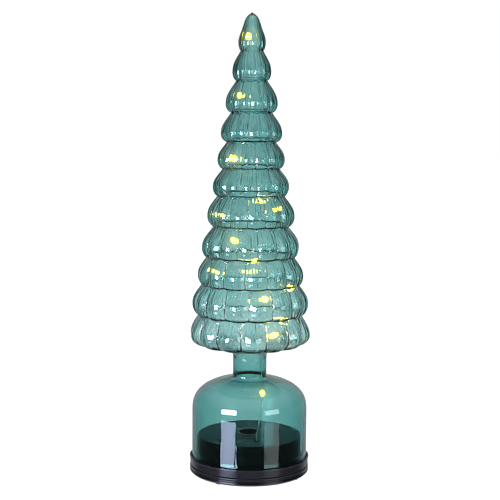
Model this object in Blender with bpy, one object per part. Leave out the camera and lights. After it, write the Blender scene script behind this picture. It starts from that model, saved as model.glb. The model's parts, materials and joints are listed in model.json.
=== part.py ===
"""Battery table lamp: a mould-blown glass tree with a string of small LEDs inside,
on a turntable base that holds two round cells and a worm gear motor.

Everything is in metres, +Z up. The origin is on the spin axis, in the plane that the feet
stand on, and the front looks along -Y. An azimuth is measured from the front towards +X.
"""

import math

import bmesh
import bpy
from mathutils import Matrix, Vector

for leftover in list(bpy.data.objects):
    bpy.data.objects.remove(leftover, do_unlink=True)

# Gaps shared by all pieces
FIT_GAP = 0.0003            # between two pieces that rest on each other
CUT_OVERRUN = 0.0010        # how far a cutter runs past the face it opens

# Round cells and the wells that hold them
CELL_RADIUS = 0.00725
CELL_LENGTH = 0.0505
CELL_NUB_RADIUS = 0.00275
CELL_NUB_LENGTH = 0.0010
CELL_SHOULDER = 0.0006
WELL_WALL = 0.0010
WELL_CONTACT_ROOM = 0.00175

# Worm gear motor
MOTOR_WIDTH = 0.0140
MOTOR_HEIGHT = 0.0148
MOTOR_GEARBOX_LENGTH = 0.0240
MOTOR_CAN_RADIUS = 0.0060
MOTOR_CAN_FLAT = 0.0050
MOTOR_CAN_LENGTH = 0.0145
MOTOR_SIDE_GAP = 0.0010
MOTOR_SCREW_CIRCLE = 0.0090
MOTOR_CORNER = 0.0012

# Output shaft
SHAFT_RADIUS = 0.0026
SHAFT_FLAT_SHARE = 0.75     # flat's distance from the axis, of the shaft's radius
SHAFT_SOCKET = 0.0050       # how deep the shaft stands in the gearbox

# Rubber feet
FOOT_RADIUS = 0.0036
FOOT_PROUD = 0.0010
FOOT_POCKET = 0.0012
FOOT_INSET = 0.0021         # from the foot's edge to the outside of the base band
FOOT_COUNT = 4
FOOT_AZIMUTH = math.radians(-33)

# Base tray: the lower, standing ring with its floor
TRAY_FLOOR = 0.0030
TRAY_BAND_HEIGHT = 0.0064
TRAY_BAND_WALL = 0.0023
TRAY_BEVEL = 0.0016
TRAY_LINE_HEIGHT = 0.0004   # fine moulded line round the band
TRAY_LINE_DEPTH = 0.0004
TRAY_LINE_SHARE = 0.64      # height of the line on the band
TRACK_HEIGHT = 0.0030       # ring that carries the glide ring, above the floor
TRACK_WIDTH = 0.0026
GLIDE_HEIGHT = 0.0014
PARTING_GAP = 0.0006        # open groove between the standing and the turning ring

# Battery door
DOOR_THICKNESS = 0.0018
DOOR_MARGIN = 0.0010        # door's edge past the wells
DOOR_CORNER = 0.0030
DOOR_RIB_HEIGHT = 0.0005
DOOR_RIB_WIDTH = 0.0012
DOOR_RIB_LENGTH_SHARE = 0.7
DOOR_TAB_WIDTH = 0.0050
DOOR_TAB_LENGTH = 0.0020
DOOR_TAB_THICKNESS = 0.0007
DOOR_TAB_OFFSET_SHARE = 0.80
DOOR_SCREW_INSET = 0.0032
DOOR_SCREW_PLAY = 0.0006    # lets the screw swing out with the door

# Screws
SCREW_SHANK_RADIUS = 0.0011
SCREW_HEAD_RADIUS = 0.0026
SCREW_HEAD_HEIGHT = 0.0011
CASE_SCREW_LENGTH = 0.0085
DOOR_SCREW_LENGTH = 0.0060
MOTOR_SCREW_LENGTH = 0.0055
BOARD_SCREW_LENGTH = 0.0026
HUB_SCREW_LENGTH = 0.0040

# Motor housing: the standing cup that the turning drum covers
HOUSING_WALL = 0.0020
HOUSING_ROOM = 0.0016       # between the wells' corners and the housing
HOUSING_DECK = 0.0020
HOUSING_EDGE = 0.0008
LEAD_ROOM = 0.0031          # over the wells, for leads
POST_RADIUS = 0.0034
POST_OFFSET_X = 0.0140

# Slide switch and control board
SWITCH_WIDTH = 0.0100
SWITCH_DEPTH = 0.0046
SWITCH_HEIGHT = 0.0034
SWITCH_TRAVEL = 0.0020      # each way from the middle
KNOB_WIDTH = 0.0030
KNOB_DEPTH = 0.0024
KNOB_RECESS = 0.0002
BOARD_THICKNESS = 0.0012
BOARD_LENGTH = 0.0190
BOARD_PEG_RADIUS = 0.0012
BOARD_CHIP = 0.0045
BOARD_CHIP_HEIGHT = 0.0012

# Contacts in the wells
CONTACT_THICKNESS = 0.0004
CONTACT_WIDTH = 0.0080
LEAD_RADIUS = 0.0005

# Turning drum
DRUM_RUN_GAP = 0.0022       # between the housing and the drum that turns round it
DRUM_WALL = 0.0024
DRUM_TOP = 0.0020
DRUM_EDGE = 0.0014
BRUSH_ROOM = 0.0075         # between the deck and the drum's top
DRUM_TO_GLASS = 0.0027
FLANGE_THICKNESS = 0.0020
PAD_RADIUS = 0.0199
PAD_HEIGHT = 0.0005
COLLAR_RADIUS = 0.0116
COLLAR_HEIGHT = 0.0012
RECESS_RADIUS = 0.0086
RECESS_DEPTH = 0.0050
RECESS_WALL = 0.0017
RECESS_FLOOR = 0.0015
HUB_BOSS_RADIUS = 0.0045
HUB_BOSS_LENGTH = 0.0019

# Seat ring: the upper, turning ring of the drum moulding
RING_WALL = 0.0013
RING_HEIGHT = 0.0072
RING_LIP = 0.0005
RING_LIP_HEIGHT = 0.0012
RING_SKIRT = 0.0017
GASKET_THICKNESS = 0.0010
GASKET_OVERHANG = 0.0012

# Slip rings and brushes
SLIP_BOARD_INNER = 0.0125
SLIP_BOARD_EDGE_GAP = 0.0050
SLIP_BOARD_THICKNESS = 0.0012
SLIP_RING_WIDTH = 0.0031
SLIP_RING_THICKNESS = 0.0003
SLIP_RING_INNER_RADIUS = 0.0145
SLIP_RING_OUTER_RADIUS = 0.0212
BRUSH_THICKNESS = 0.0003
BRUSH_WIDTH = 0.0018
BRUSH_REACH = 0.0070
BRUSH_FOOT = 0.0060
BRUSH_BLOCK_DEPTH = 0.0080
BRUSH_BLOCK_HEIGHT = 0.0028
OUTER_SCREW_INSET = 0.0034  # from the board's outer edge
OUTER_SCREW_AZIMUTH = math.radians(-42.7)
INNER_SCREW_AZIMUTH = math.radians(202)

# LED string
WIRE_RADIUS = 0.0003
WIRE_HOLE_RADIUS = 0.0249
WIRE_HOLE_AZIMUTH = math.radians(15)
GROMMET_HOLE = 0.0020
GROMMET_FLANGE = 0.0010
GROMMET_FLANGE_HEIGHT = 0.0006
BEAD_RADIUS = 0.0015
BEAD_LENGTH = 0.0038
BEAD_END_SHARE = 0.72

# Glass
GLASS_WALL = 0.0018
GLASS_DOME_HEIGHT = 0.0748      # from the rim to the foot of the trunk
GLASS_SHOULDER = 0.0296         # height over which the dome rounds off
GLASS_TRUNK_RADIUS = 0.0147
GLASS_TRUNK_LENGTH = 0.0180
GLASS_TREE_LENGTH = 0.2946
GLASS_TREE_OVERHANG = 0.0004    # widest tier, past the lip of the seat ring
FLUTES = 14
FLUTE_DEPTH_SHARE = 0.060       # crease depth, of the radius
FLUTE_DROP_SHARE = 0.025        # how much lower a lobe hangs than its creases
GLASS_SIDES_PER_FLUTE = 4

# From the foot of the tree up: where each tier swells most, and the neck above it
TIER_HEIGHT_SHARES = (
    0.0590, 0.1520, 0.2357, 0.3194, 0.4112, 0.4966, 0.5759, 0.6517, 0.7388, 0.8310, 0.9173,
)
TIER_RADIUS_SHARES = (
    1.0000, 0.9580, 0.8740, 0.8070, 0.7200, 0.6330, 0.5540, 0.5040, 0.4250, 0.3186, 0.2242,
)
NECK_HEIGHT_SHARES = (
    0.1170, 0.2075, 0.2895, 0.3800, 0.4700, 0.5493, 0.6269, 0.7126, 0.8051, 0.8915,
)
NECK_RADIUS_SHARES = (
    0.8680, 0.8100, 0.7290, 0.6280, 0.5580, 0.4766, 0.4118, 0.3440, 0.2606, 0.1896,
)
# Azimuth of one crease on each tier, in degrees, bottom tier first
TIER_TURNS = (16.0, -1.4, 19.5, 8.6, -5.0, 9.6, 8.0, -6.2, -3.7, 7.6, -3.3)
# Between a neck and the swell below it, and between a swell and the neck below it
SLANT_SHARES = (0.50, 0.67)
TUCK_SHARES = (0.62, 0.36)
# How deep the creases are at each level of a tier, and how far its lobes hang there
SWELL_CREASE_SHARES = (1.00, 0.40)
SLANT_CREASE_SHARES = (0.85, 0.00)
NECK_CREASE_SHARES = (0.30, 0.00)
TUCK_CREASE_SHARES = (0.80, 0.80)
TIP_CREASE_SHARE = 0.70
# Under the lowest tier: radius of the tree, height of the first swell
SKIRT_SHARES = ((0.925, 0.560), (0.830, 0.400), (0.560, 0.240), (0.340, 0.080))
SKIRT_CREASE_SHARES = (0.95, 0.69, 0.21, 0.05)
# Above the top swell: radius of that swell, height up to the tip
TIP_SHARES = ((0.910, 0.206), (0.740, 0.410), (0.570, 0.690), (0.400, 0.840))
TIP_HOLLOW_SHARE = 0.70         # how far up the tip is hollow
# The dome's shoulder: outwards from the trunk to the wall, down from the trunk's foot
SHOULDER_SHARES = (
    (0.065, 0.085), (0.320, 0.155), (0.583, 0.270), (0.778, 0.415), (0.910, 0.590),
    (0.978, 0.775), (1.000, 1.000),
)
SHOULDER_WALL_SHARE = 0.35      # of the wall, taken inwards where the shoulder is flattest

# Route of the LED string. The shares are of the room that it passes through: across from the
# axis, and up from the drum's top, from the foot of the trunk and from the foot of the tree.
DOME_ROUTE_SHARES = (
    ("bend", 0.259, -0.966, 0.075), ("bend", 0.321, -0.803, 0.243),
    ("bend", 0.410, -0.602, 0.449), ("led", 0.442, -0.321, 0.712),
)
TRUNK_ROUTE_SHARES = (("bend", 0.806, -0.310, -0.078), ("bend", 0.713, -0.349, 0.644))
TREE_ROUTE_SHARES = (
    ("bend", 0.212, -0.170, 0.0241), ("led", 0.392, -0.473, 0.0716),
    ("bend", 0.634, -0.114, 0.0733), ("led", 0.540, 0.379, 0.0835),
    ("bend", 0.417, -0.133, 0.1310), ("led", 0.223, -0.549, 0.1785),
    ("bend", 0.492, -0.455, 0.1887), ("led", 0.663, -0.152, 0.2023),
    ("bend", 0.436, 0.379, 0.2159), ("led", -0.044, 0.587, 0.2329),
    ("bend", -0.492, 0.322, 0.2430), ("led", -0.663, -0.114, 0.2532),
    ("bend", -0.360, -0.511, 0.2702), ("led", 0.055, -0.606, 0.2906),
    ("bend", -0.114, -0.597, 0.3211), ("led", -0.275, -0.511, 0.3483),
    ("bend", -0.455, -0.237, 0.3754), ("led", -0.578, 0.095, 0.4128),
    ("bend", -0.095, -0.019, 0.4229), ("led", 0.445, -0.189, 0.4348),
    ("bend", 0.455, 0.152, 0.4399), ("led", 0.182, 0.398, 0.4501),
    ("bend", -0.114, 0.189, 0.5112), ("led", -0.284, -0.208, 0.5808),
    ("bend", -0.189, -0.227, 0.6673), ("led", -0.205, -0.076, 0.7624),
    ("bend", -0.095, 0.038, 0.8507), ("led", -0.080, 0.019, 0.9321),
)
WIRE_POINT_SPACING = 0.0220

ROUND_SIDES = 36
HIDDEN_SIDES = 28
SMALL_SIDES = 10
SCREW_SIDES = 8
BEAD_SIDES = 6

# Places worked out from the sizes above, from the axis outwards
LANE_HALF = MOTOR_WIDTH / 2 + MOTOR_SIDE_GAP
CELL_X = LANE_HALF + WELL_WALL + FIT_GAP + CELL_RADIUS
WELL_INNER_X = CELL_RADIUS + FIT_GAP
WELL_OUTER_X = WELL_INNER_X + WELL_WALL
WELL_INNER_Y = CELL_LENGTH / 2 + WELL_CONTACT_ROOM
WELL_OUTER_Y = WELL_INNER_Y + WELL_WALL
HOUSING_INNER = math.hypot(CELL_X + WELL_OUTER_X, WELL_OUTER_Y) + HOUSING_ROOM
HOUSING_RADIUS = HOUSING_INNER + HOUSING_WALL
DRUM_INNER = HOUSING_RADIUS + DRUM_RUN_GAP
DRUM_RADIUS = DRUM_INNER + DRUM_WALL
GLASS_INNER = DRUM_RADIUS + DRUM_TO_GLASS
GLASS_RADIUS = GLASS_INNER + GLASS_WALL
RING_INNER = GLASS_RADIUS + FIT_GAP
RING_RADIUS = RING_INNER + RING_WALL
TRAY_RADIUS = RING_RADIUS + RING_LIP / 2
TRACK_INNER = DRUM_RADIUS + DRUM_TO_GLASS / 4
TRACK_OUTER = TRACK_INNER + TRACK_WIDTH
GLASS_TREE_RADIUS = RING_RADIUS + RING_LIP + GLASS_TREE_OVERHANG
SLIP_BOARD_OUTER = DRUM_INNER - SLIP_BOARD_EDGE_GAP
FOOT_CIRCLE = TRAY_RADIUS - FOOT_INSET - FOOT_RADIUS
DOOR_HALF_X = CELL_X + WELL_OUTER_X + DOOR_MARGIN
DOOR_HALF_Y = WELL_OUTER_Y
POST_Y = DOOR_HALF_Y + FIT_GAP + POST_RADIUS + FIT_GAP
SWITCH_Y = -(DOOR_HALF_Y + FIT_GAP + SWITCH_DEPTH)
DOOR_SCREW_Y = DOOR_HALF_Y - DOOR_SCREW_INSET
DOOR_TAB_X = DOOR_HALF_X * DOOR_TAB_OFFSET_SHARE
BRUSH_BLOCK_X = (-SLIP_RING_OUTER_RADIUS - SLIP_RING_WIDTH, -SLIP_RING_INNER_RADIUS)
BRUSH_BLOCK_Y = (-BRUSH_BLOCK_DEPTH, 0.0)
BRUSH_LEAD_PLACE = (-LANE_HALF + LEAD_RADIUS * 2, -MOTOR_GEARBOX_LENGTH / 2 - LEAD_RADIUS * 4)

# and from the feet upwards
TRAY_BOTTOM_Z = FOOT_PROUD
FLOOR_TOP_Z = TRAY_BOTTOM_Z + TRAY_FLOOR
BAND_TOP_Z = TRAY_BOTTOM_Z + TRAY_BAND_HEIGHT
DOOR_TOP_Z = TRAY_BOTTOM_Z + DOOR_THICKNESS
REBATE_TOP_Z = DOOR_TOP_Z + FIT_GAP
DOOR_SCREW_BOSS_TOP_Z = DOOR_TOP_Z + DOOR_SCREW_LENGTH
CELL_Z = DOOR_TOP_Z + DOOR_RIB_HEIGHT + FIT_GAP + CELL_RADIUS
WELL_CEILING_Z = CELL_Z + CELL_RADIUS + FIT_GAP
WELL_TOP_Z = WELL_CEILING_Z + WELL_WALL
HOUSING_FOOT_Z = FLOOR_TOP_Z + FIT_GAP
DECK_UNDER_Z = WELL_TOP_Z + LEAD_ROOM
DECK_TOP_Z = DECK_UNDER_Z + HOUSING_DECK
MOTOR_TOP_Z = DECK_UNDER_Z - FIT_GAP
MOTOR_Z = MOTOR_TOP_Z - MOTOR_HEIGHT / 2
DRUM_UNDER_Z = DECK_TOP_Z + BRUSH_ROOM
DRUM_TOP_Z = DRUM_UNDER_Z + DRUM_TOP
COLLAR_TOP_Z = DRUM_TOP_Z + COLLAR_HEIGHT
RECESS_FLOOR_Z = DRUM_TOP_Z - RECESS_DEPTH
HUB_UNDER_Z = RECESS_FLOOR_Z - RECESS_FLOOR
BOSS_END_Z = HUB_UNDER_Z - HUB_BOSS_LENGTH
BOARD_SCREW_SEAT_Z = DRUM_UNDER_Z + DRUM_TOP / 2
TRACK_TOP_Z = FLOOR_TOP_Z + TRACK_HEIGHT
GLIDE_TOP_Z = TRACK_TOP_Z + FIT_GAP + GLIDE_HEIGHT
FLANGE_UNDER_Z = GLIDE_TOP_Z + FIT_GAP
FLANGE_TOP_Z = FLANGE_UNDER_Z + FLANGE_THICKNESS
RING_BOTTOM_Z = BAND_TOP_Z + PARTING_GAP
RING_TOP_Z = RING_BOTTOM_Z + RING_HEIGHT
GASKET_BOTTOM_Z = FLANGE_TOP_Z + FIT_GAP
GASKET_TOP_Z = GASKET_BOTTOM_Z + GASKET_THICKNESS
GLASS_RIM_Z = GASKET_TOP_Z + FIT_GAP
TRUNK_FOOT_Z = GLASS_RIM_Z + GLASS_DOME_HEIGHT
TRUNK_TOP_Z = TRUNK_FOOT_Z + GLASS_TRUNK_LENGTH
TIP_Z = TRUNK_TOP_Z + GLASS_TREE_LENGTH
SLIP_BOARD_TOP_Z = DRUM_UNDER_Z - FIT_GAP
SLIP_BOARD_UNDER_Z = SLIP_BOARD_TOP_Z - SLIP_BOARD_THICKNESS
SLIP_RING_TOP_Z = SLIP_BOARD_UNDER_Z - FIT_GAP
SLIP_RING_UNDER_Z = SLIP_RING_TOP_Z - SLIP_RING_THICKNESS
BRUSH_TIP_Z = SLIP_RING_UNDER_Z - FIT_GAP
BRUSH_BLOCK_Z = DECK_TOP_Z + FIT_GAP
BRUSH_FOOT_Z = BRUSH_BLOCK_Z + BRUSH_BLOCK_HEIGHT + FIT_GAP
SWITCH_BOTTOM_Z = FLOOR_TOP_Z + FIT_GAP
SWITCH_TOP_Z = SWITCH_BOTTOM_Z + SWITCH_HEIGHT
BOARD_Z = SWITCH_TOP_Z + FIT_GAP
SHAFT_FOOT_Z = MOTOR_TOP_Z - SHAFT_SOCKET
HOLE_RADIUS = SCREW_SHANK_RADIUS + FIT_GAP
HEAD_HOLE_RADIUS = SCREW_HEAD_RADIUS + FIT_GAP
HEAD_HOLE_DEPTH = SCREW_HEAD_HEIGHT + 2 * FIT_GAP


def linear(channel):
    """One sRGB channel, 0 to 1, as a linear value."""
    return channel / 12.92 if channel <= 0.04045 else ((channel + 0.055) / 1.055) ** 2.4


def finish(name, hex_colour, roughness, metallic=0.0, transmission=0.0, glow=0.0):
    """A Principled material from an sRGB hex colour."""
    material = bpy.data.materials.new(name)
    material.use_nodes = True
    shader = material.node_tree.nodes["Principled BSDF"]
    channels = [linear(int(hex_colour[i:i + 2], 16) / 255) for i in (0, 2, 4)]
    shader.inputs["Base Color"].default_value = (*channels, 1.0)
    shader.inputs["Roughness"].default_value = roughness
    shader.inputs["Metallic"].default_value = metallic
    shader.inputs["Transmission Weight"].default_value = transmission
    if glow:
        shader.inputs["Emission Color"].default_value = (*channels, 1.0)
        shader.inputs["Emission Strength"].default_value = glow
    material.diffuse_color = (*channels, 1.0)
    return material


GLASS = finish("teal_glass", "5FA8A4", 0.03, transmission=0.9)
BLACK_ABS = finish("black_abs", "121218", 0.22)
RUBBER = finish("grey_rubber", "2A2A2C", 0.8)
ACETAL = finish("white_acetal", "D8D8D2", 0.4)
STEEL = finish("zinc_plated_steel", "A9ABAE", 0.35, metallic=1.0)
NICKEL = finish("nickel_strip", "C9C4B8", 0.3, metallic=1.0)
COPPER = finish("copper_track", "C98A5A", 0.3, metallic=1.0)
BOARD_GREEN = finish("green_board", "2C6B3F", 0.5)
CELL_JACKET = finish("cell_jacket", "3C3F46", 0.35)
LEAD_RED = finish("lead_insulation", "9A2B26", 0.5)
WIRE_METAL = finish("lacquered_wire", "B9B39C", 0.3, metallic=1.0)
LED_RESIN = finish("warm_led_resin", "FFD978", 0.3, glow=4.0)


def empty(name, place):
    """An empty on a joint's axis, or at the origin for the standing parts."""
    holder = bpy.data.objects.new(name, None)
    holder.location = place
    bpy.context.scene.collection.objects.link(holder)
    return holder


DOOR_AXIS = Vector((0, -DOOR_HALF_Y, TRAY_BOTTOM_Z))
KNOB_PLACE = Vector((0, SWITCH_Y, SWITCH_BOTTOM_Z))
BASE = empty("base_frame", (0, 0, 0))
TURNTABLE = empty("turntable_axis", (0, 0, 0))
DOOR = empty("battery_door_axis", DOOR_AXIS)
KNOB = empty("switch_travel", KNOB_PLACE)


def add(name, shape, material, holder, place=(0, 0, 0)):
    """Make an object from a bmesh drawn in world places, with its origin at place."""
    place = Vector(place)
    bmesh.ops.recalc_face_normals(shape, faces=shape.faces)
    mesh = bpy.data.meshes.new(name)
    shape.to_mesh(mesh)
    shape.free()
    mesh.transform(Matrix.Translation(-place))
    if material:
        mesh.materials.append(material)
    mesh.shade_smooth()
    mesh.set_sharp_from_angle(angle=math.radians(32))
    piece = bpy.data.objects.new(name, mesh)
    bpy.context.scene.collection.objects.link(piece)
    piece.parent = holder
    piece.location = place - holder.location
    return piece


def repeat(piece, name, place):
    """A copy of a piece at another place, sharing its mesh."""
    twin = piece.copy()
    twin.name = name
    bpy.context.scene.collection.objects.link(twin)
    twin.location = Vector(place) - piece.parent.location
    return twin


def combine(piece, shape, operation, label):
    """Cut a helper shape out of a piece, or join it on, with a Boolean modifier."""
    helper = add(piece.name + "_" + label, shape, None, piece.parent)
    helper.hide_render = True
    helper.display_type = "WIRE"
    modifier = piece.modifiers.new(label, "BOOLEAN")
    modifier.operation = operation
    modifier.solver = "EXACT"
    modifier.object = helper
    return piece


def cut(piece, shape, label="cut"):
    return combine(piece, shape, "DIFFERENCE", label)


def join(piece, shape, label="join"):
    return combine(piece, shape, "UNION", label)


def ring_of(shape, radius, height, sides, centre=(0, 0)):
    """A ring of vertices, or one vertex on the axis."""
    if radius == 0:
        return [shape.verts.new((centre[0], centre[1], height))]
    step = 2 * math.pi / sides
    return [
        shape.verts.new((
            centre[0] + radius * math.sin(i * step),
            centre[1] - radius * math.cos(i * step),
            height,
        ))
        for i in range(sides)
    ]


def bridge(shape, low, high):
    """Faces between two rings. One may be a point, or have half as many vertices."""
    if len(low) == 1 or len(high) == 1:
        point, ring = (low[0], high) if len(low) == 1 else (high[0], low)
        for i in range(len(ring)):
            shape.faces.new((ring[i], ring[(i + 1) % len(ring)], point))
        return
    if len(low) == len(high):
        for i in range(len(low)):
            j = (i + 1) % len(low)
            shape.faces.new((low[i], low[j], high[j], high[i]))
        return
    fine, coarse = (low, high) if len(low) > len(high) else (high, low)
    for i in range(len(coarse)):
        j = (i + 1) % len(coarse)
        first, middle, last = fine[2 * i], fine[2 * i + 1], fine[(2 * i + 2) % len(fine)]
        shape.faces.new((first, middle, coarse[i]))
        shape.faces.new((middle, coarse[j], coarse[i]))
        shape.faces.new((middle, last, coarse[j]))


def turned(profile, sides=ROUND_SIDES, closed=False, centre=(0, 0)):
    """A body turned about a vertical axis from (radius, height) points."""
    shape = bmesh.new()
    rings = [ring_of(shape, radius, height, sides, centre) for radius, height in profile]
    for low, high in zip(rings, rings[1:]):
        bridge(shape, low, high)
    if closed:
        bridge(shape, rings[-1], rings[0])
    return shape


def flat_ring(inner, outer, low, high, sides=HIDDEN_SIDES):
    """A ring of rectangular section round the axis."""
    profile = [(inner, low), (outer, low), (outer, high), (inner, high)]
    return turned(profile, sides, closed=True)


def add_rod(shape, x, y, low, high, radius, sides=SMALL_SIDES):
    """A round rod along Z, added to a shape."""
    rings = [ring_of(shape, radius, height, sides, (x, y)) for height in (low, high)]
    bridge(shape, rings[0], rings[1])
    shape.faces.new(reversed(rings[0]))
    shape.faces.new(rings[1])
    return shape


def rods(places, low, high, radius, sides=SMALL_SIDES):
    """Several upright rods in one shape."""
    shape = bmesh.new()
    for x, y in places:
        add_rod(shape, x, y, low, high, radius, sides)
    return shape


def add_block(shape, low, high):
    """A box between two corners, added to a shape."""
    corners = [
        shape.verts.new((x, y, z))
        for z in (low[2], high[2])
        for x, y in ((low[0], low[1]), (high[0], low[1]), (high[0], high[1]), (low[0], high[1]))
    ]
    for face in ((3, 2, 1, 0), (4, 5, 6, 7), (0, 1, 5, 4), (1, 2, 6, 5), (2, 3, 7, 6), (3, 0, 4, 7)):
        shape.faces.new([corners[i] for i in face])
    return shape


def block(low, high):
    return add_block(bmesh.new(), low, high)


def add_prism(shape, outline, start, end, axis="Z"):
    """An outline pushed along an axis. Its two numbers are the other axes in X, Y, Z order."""
    def point(first, second, along):
        return {
            "X": (along, first, second),
            "Y": (first, along, second),
            "Z": (first, second, along),
        }[axis]
    near = [shape.verts.new(point(a, b, start)) for a, b in outline]
    far = [shape.verts.new(point(a, b, end)) for a, b in outline]
    bridge(shape, near, far)
    shape.faces.new(near)
    shape.faces.new(far)
    return shape


def prism(outline, start, end, axis="Z"):
    return add_prism(bmesh.new(), outline, start, end, axis)


def chamfered(half_x, half_y, corner, centre=(0, 0)):
    """A rectangle's outline with its corners cut off."""
    x, y = centre
    return [
        (x + sx * half_x - dx * sx * corner, y + sy * half_y - dy * sy * corner)
        for sx, sy, order in ((1, -1, 0), (1, 1, 1), (-1, 1, 0), (-1, -1, 1))
        for dx, dy in (((1, 0), (0, 1)) if order == 0 else ((0, 1), (1, 0)))
    ]


def arc(centre, radius, start, end, steps):
    """Points on an arc, from one angle to another, both in degrees."""
    return [
        (
            centre[0] + radius * math.cos(math.radians(start + (end - start) * i / steps)),
            centre[1] + radius * math.sin(math.radians(start + (end - start) * i / steps)),
        )
        for i in range(steps + 1)
    ]


def at(azimuth, distance):
    """X and Y of a place at an azimuth from the front."""
    return distance * math.sin(azimuth), -distance * math.cos(azimuth)


def screw(name, holder, place, length, points_up):
    """A pan-head screw whose head's seat is at place; its shank points up or down."""
    x, y, seat = place
    way = 1 if points_up else -1
    profile = [
        (0, seat - way * SCREW_HEAD_HEIGHT),
        (SCREW_HEAD_RADIUS - FIT_GAP, seat - way * SCREW_HEAD_HEIGHT),
        (SCREW_HEAD_RADIUS, seat - way * SCREW_HEAD_HEIGHT / 2),
        (SCREW_HEAD_RADIUS, seat),
        (SCREW_SHANK_RADIUS, seat),
        (SCREW_SHANK_RADIUS, seat + way * (length - SCREW_SHANK_RADIUS)),
        (0, seat + way * length),
    ]
    return add(name, turned(profile, SCREW_SIDES, centre=(x, y)), STEEL, holder, place)


POST_PLACES = [(sx * POST_OFFSET_X, sy * POST_Y) for sy in (-1, 1) for sx in (-1, 1)]
MOTOR_SCREW_PLACES = [(0, -MOTOR_SCREW_CIRCLE), (0, MOTOR_SCREW_CIRCLE)]
BETWEEN_SLIP_RINGS = (SLIP_RING_INNER_RADIUS + SLIP_RING_WIDTH + SLIP_RING_OUTER_RADIUS) / 2
BOARD_SCREW_PLACES = [
    at(OUTER_SCREW_AZIMUTH, SLIP_BOARD_OUTER - OUTER_SCREW_INSET),
    at(INNER_SCREW_AZIMUTH, BETWEEN_SLIP_RINGS),
]
PEG_PLACES = [
    (side * (LANE_HALF - BOARD_PEG_RADIUS * 2), SWITCH_Y + SWITCH_DEPTH) for side in (-1, 1)
]
WIRE_HOLE = at(WIRE_HOLE_AZIMUTH, WIRE_HOLE_RADIUS)


def make_base_tray():
    """Lower ring, floor, glide track and the two battery wells, one moulding."""
    line_z = TRAY_BOTTOM_Z + TRAY_BAND_HEIGHT * TRAY_LINE_SHARE
    profile = [
        (0, FLOOR_TOP_Z), (TRACK_INNER, FLOOR_TOP_Z), (TRACK_INNER, TRACK_TOP_Z),
        (TRACK_OUTER, TRACK_TOP_Z), (TRACK_OUTER, FLOOR_TOP_Z),
        (TRAY_RADIUS - TRAY_BAND_WALL, FLOOR_TOP_Z), (TRAY_RADIUS - TRAY_BAND_WALL, BAND_TOP_Z),
        (TRAY_RADIUS - TRAY_LINE_DEPTH, BAND_TOP_Z), (TRAY_RADIUS, BAND_TOP_Z - TRAY_LINE_DEPTH),
        (TRAY_RADIUS, line_z + TRAY_LINE_HEIGHT),
        (TRAY_RADIUS - TRAY_LINE_DEPTH, line_z), (TRAY_RADIUS, line_z - TRAY_LINE_HEIGHT),
        (TRAY_RADIUS, TRAY_BOTTOM_Z + TRAY_BEVEL), (TRAY_RADIUS - TRAY_BEVEL, TRAY_BOTTOM_Z),
        (0, TRAY_BOTTOM_Z),
    ]
    tray = add("base_tray", turned(profile), BLACK_ABS, BASE)
    wells = bmesh.new()
    cavities = bmesh.new()
    for side in (-1, 1):
        add_prism(wells, well_outline(side, WELL_OUTER_X), -WELL_OUTER_Y, WELL_OUTER_Y, "Y")
        add_prism(cavities, well_outline(side, WELL_INNER_X), -WELL_INNER_Y, WELL_INNER_Y, "Y")
    join(tray, wells, "wells")
    posts = rods([(0, DOOR_SCREW_Y)], REBATE_TOP_Z, DOOR_SCREW_BOSS_TOP_Z, POST_RADIUS)
    for x, y in PEG_PLACES:
        add_rod(posts, x, y, REBATE_TOP_Z, BOARD_Z - FIT_GAP, BOARD_PEG_RADIUS, SCREW_SIDES)
    join(tray, posts, "posts")
    cut(tray, cavities, "cavities")
    cut_tray_openings(tray)
    cut(tray, contact_slots(), "contact_slots")


def well_outline(side, half):
    """A well's section in X and Z, flat below and round above the cell."""
    top = [(side * CELL_X + x, z) for x, z in arc((0, CELL_Z), half, 0, 180, 8)]
    low = REBATE_TOP_Z if half == WELL_OUTER_X else TRAY_BOTTOM_Z - CUT_OVERRUN
    return [(side * CELL_X + half, low)] + top + [(side * CELL_X - half, low)]


def cut_tray_openings(tray):
    """Door rebate, tab pockets, switch slot, screw holes and foot pockets."""
    below = TRAY_BOTTOM_Z - CUT_OVERRUN
    above = FLOOR_TOP_Z + CUT_OVERRUN
    outline = chamfered(DOOR_HALF_X + FIT_GAP, DOOR_HALF_Y + FIT_GAP, DOOR_CORNER)
    cut(tray, prism(outline, below, REBATE_TOP_Z), "rebate")
    through = bmesh.new()
    tab_half = DOOR_TAB_WIDTH / 2 + FIT_GAP
    for side in (-1, 1):
        x = side * DOOR_TAB_X
        add_block(
            through,
            (x - tab_half, -DOOR_HALF_Y - DOOR_TAB_LENGTH - FIT_GAP,
             DOOR_TOP_Z - DOOR_TAB_THICKNESS - FIT_GAP),
            (x + tab_half, -DOOR_HALF_Y + DOOR_THICKNESS, above),
        )
    slot_x = KNOB_WIDTH / 2 + SWITCH_TRAVEL + FIT_GAP
    slot_y = KNOB_DEPTH / 2 + FIT_GAP
    add_block(through, (-slot_x, SWITCH_Y - slot_y, below), (slot_x, SWITCH_Y + slot_y, above))
    for x, y in POST_PLACES:
        add_rod(through, x, y, below, above, HOLE_RADIUS)
    add_rod(through, 0, DOOR_SCREW_Y, below, DOOR_SCREW_BOSS_TOP_Z + CUT_OVERRUN,
            SCREW_SHANK_RADIUS + DOOR_SCREW_PLAY)
    cut(tray, through, "holes")
    pockets = rods(POST_PLACES, below, TRAY_BOTTOM_Z + HEAD_HOLE_DEPTH, HEAD_HOLE_RADIUS)
    for x, y in foot_places():
        add_rod(pockets, x, y, below, TRAY_BOTTOM_Z + FOOT_POCKET, FOOT_RADIUS + FIT_GAP)
    cut(tray, pockets, "pockets")


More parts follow.
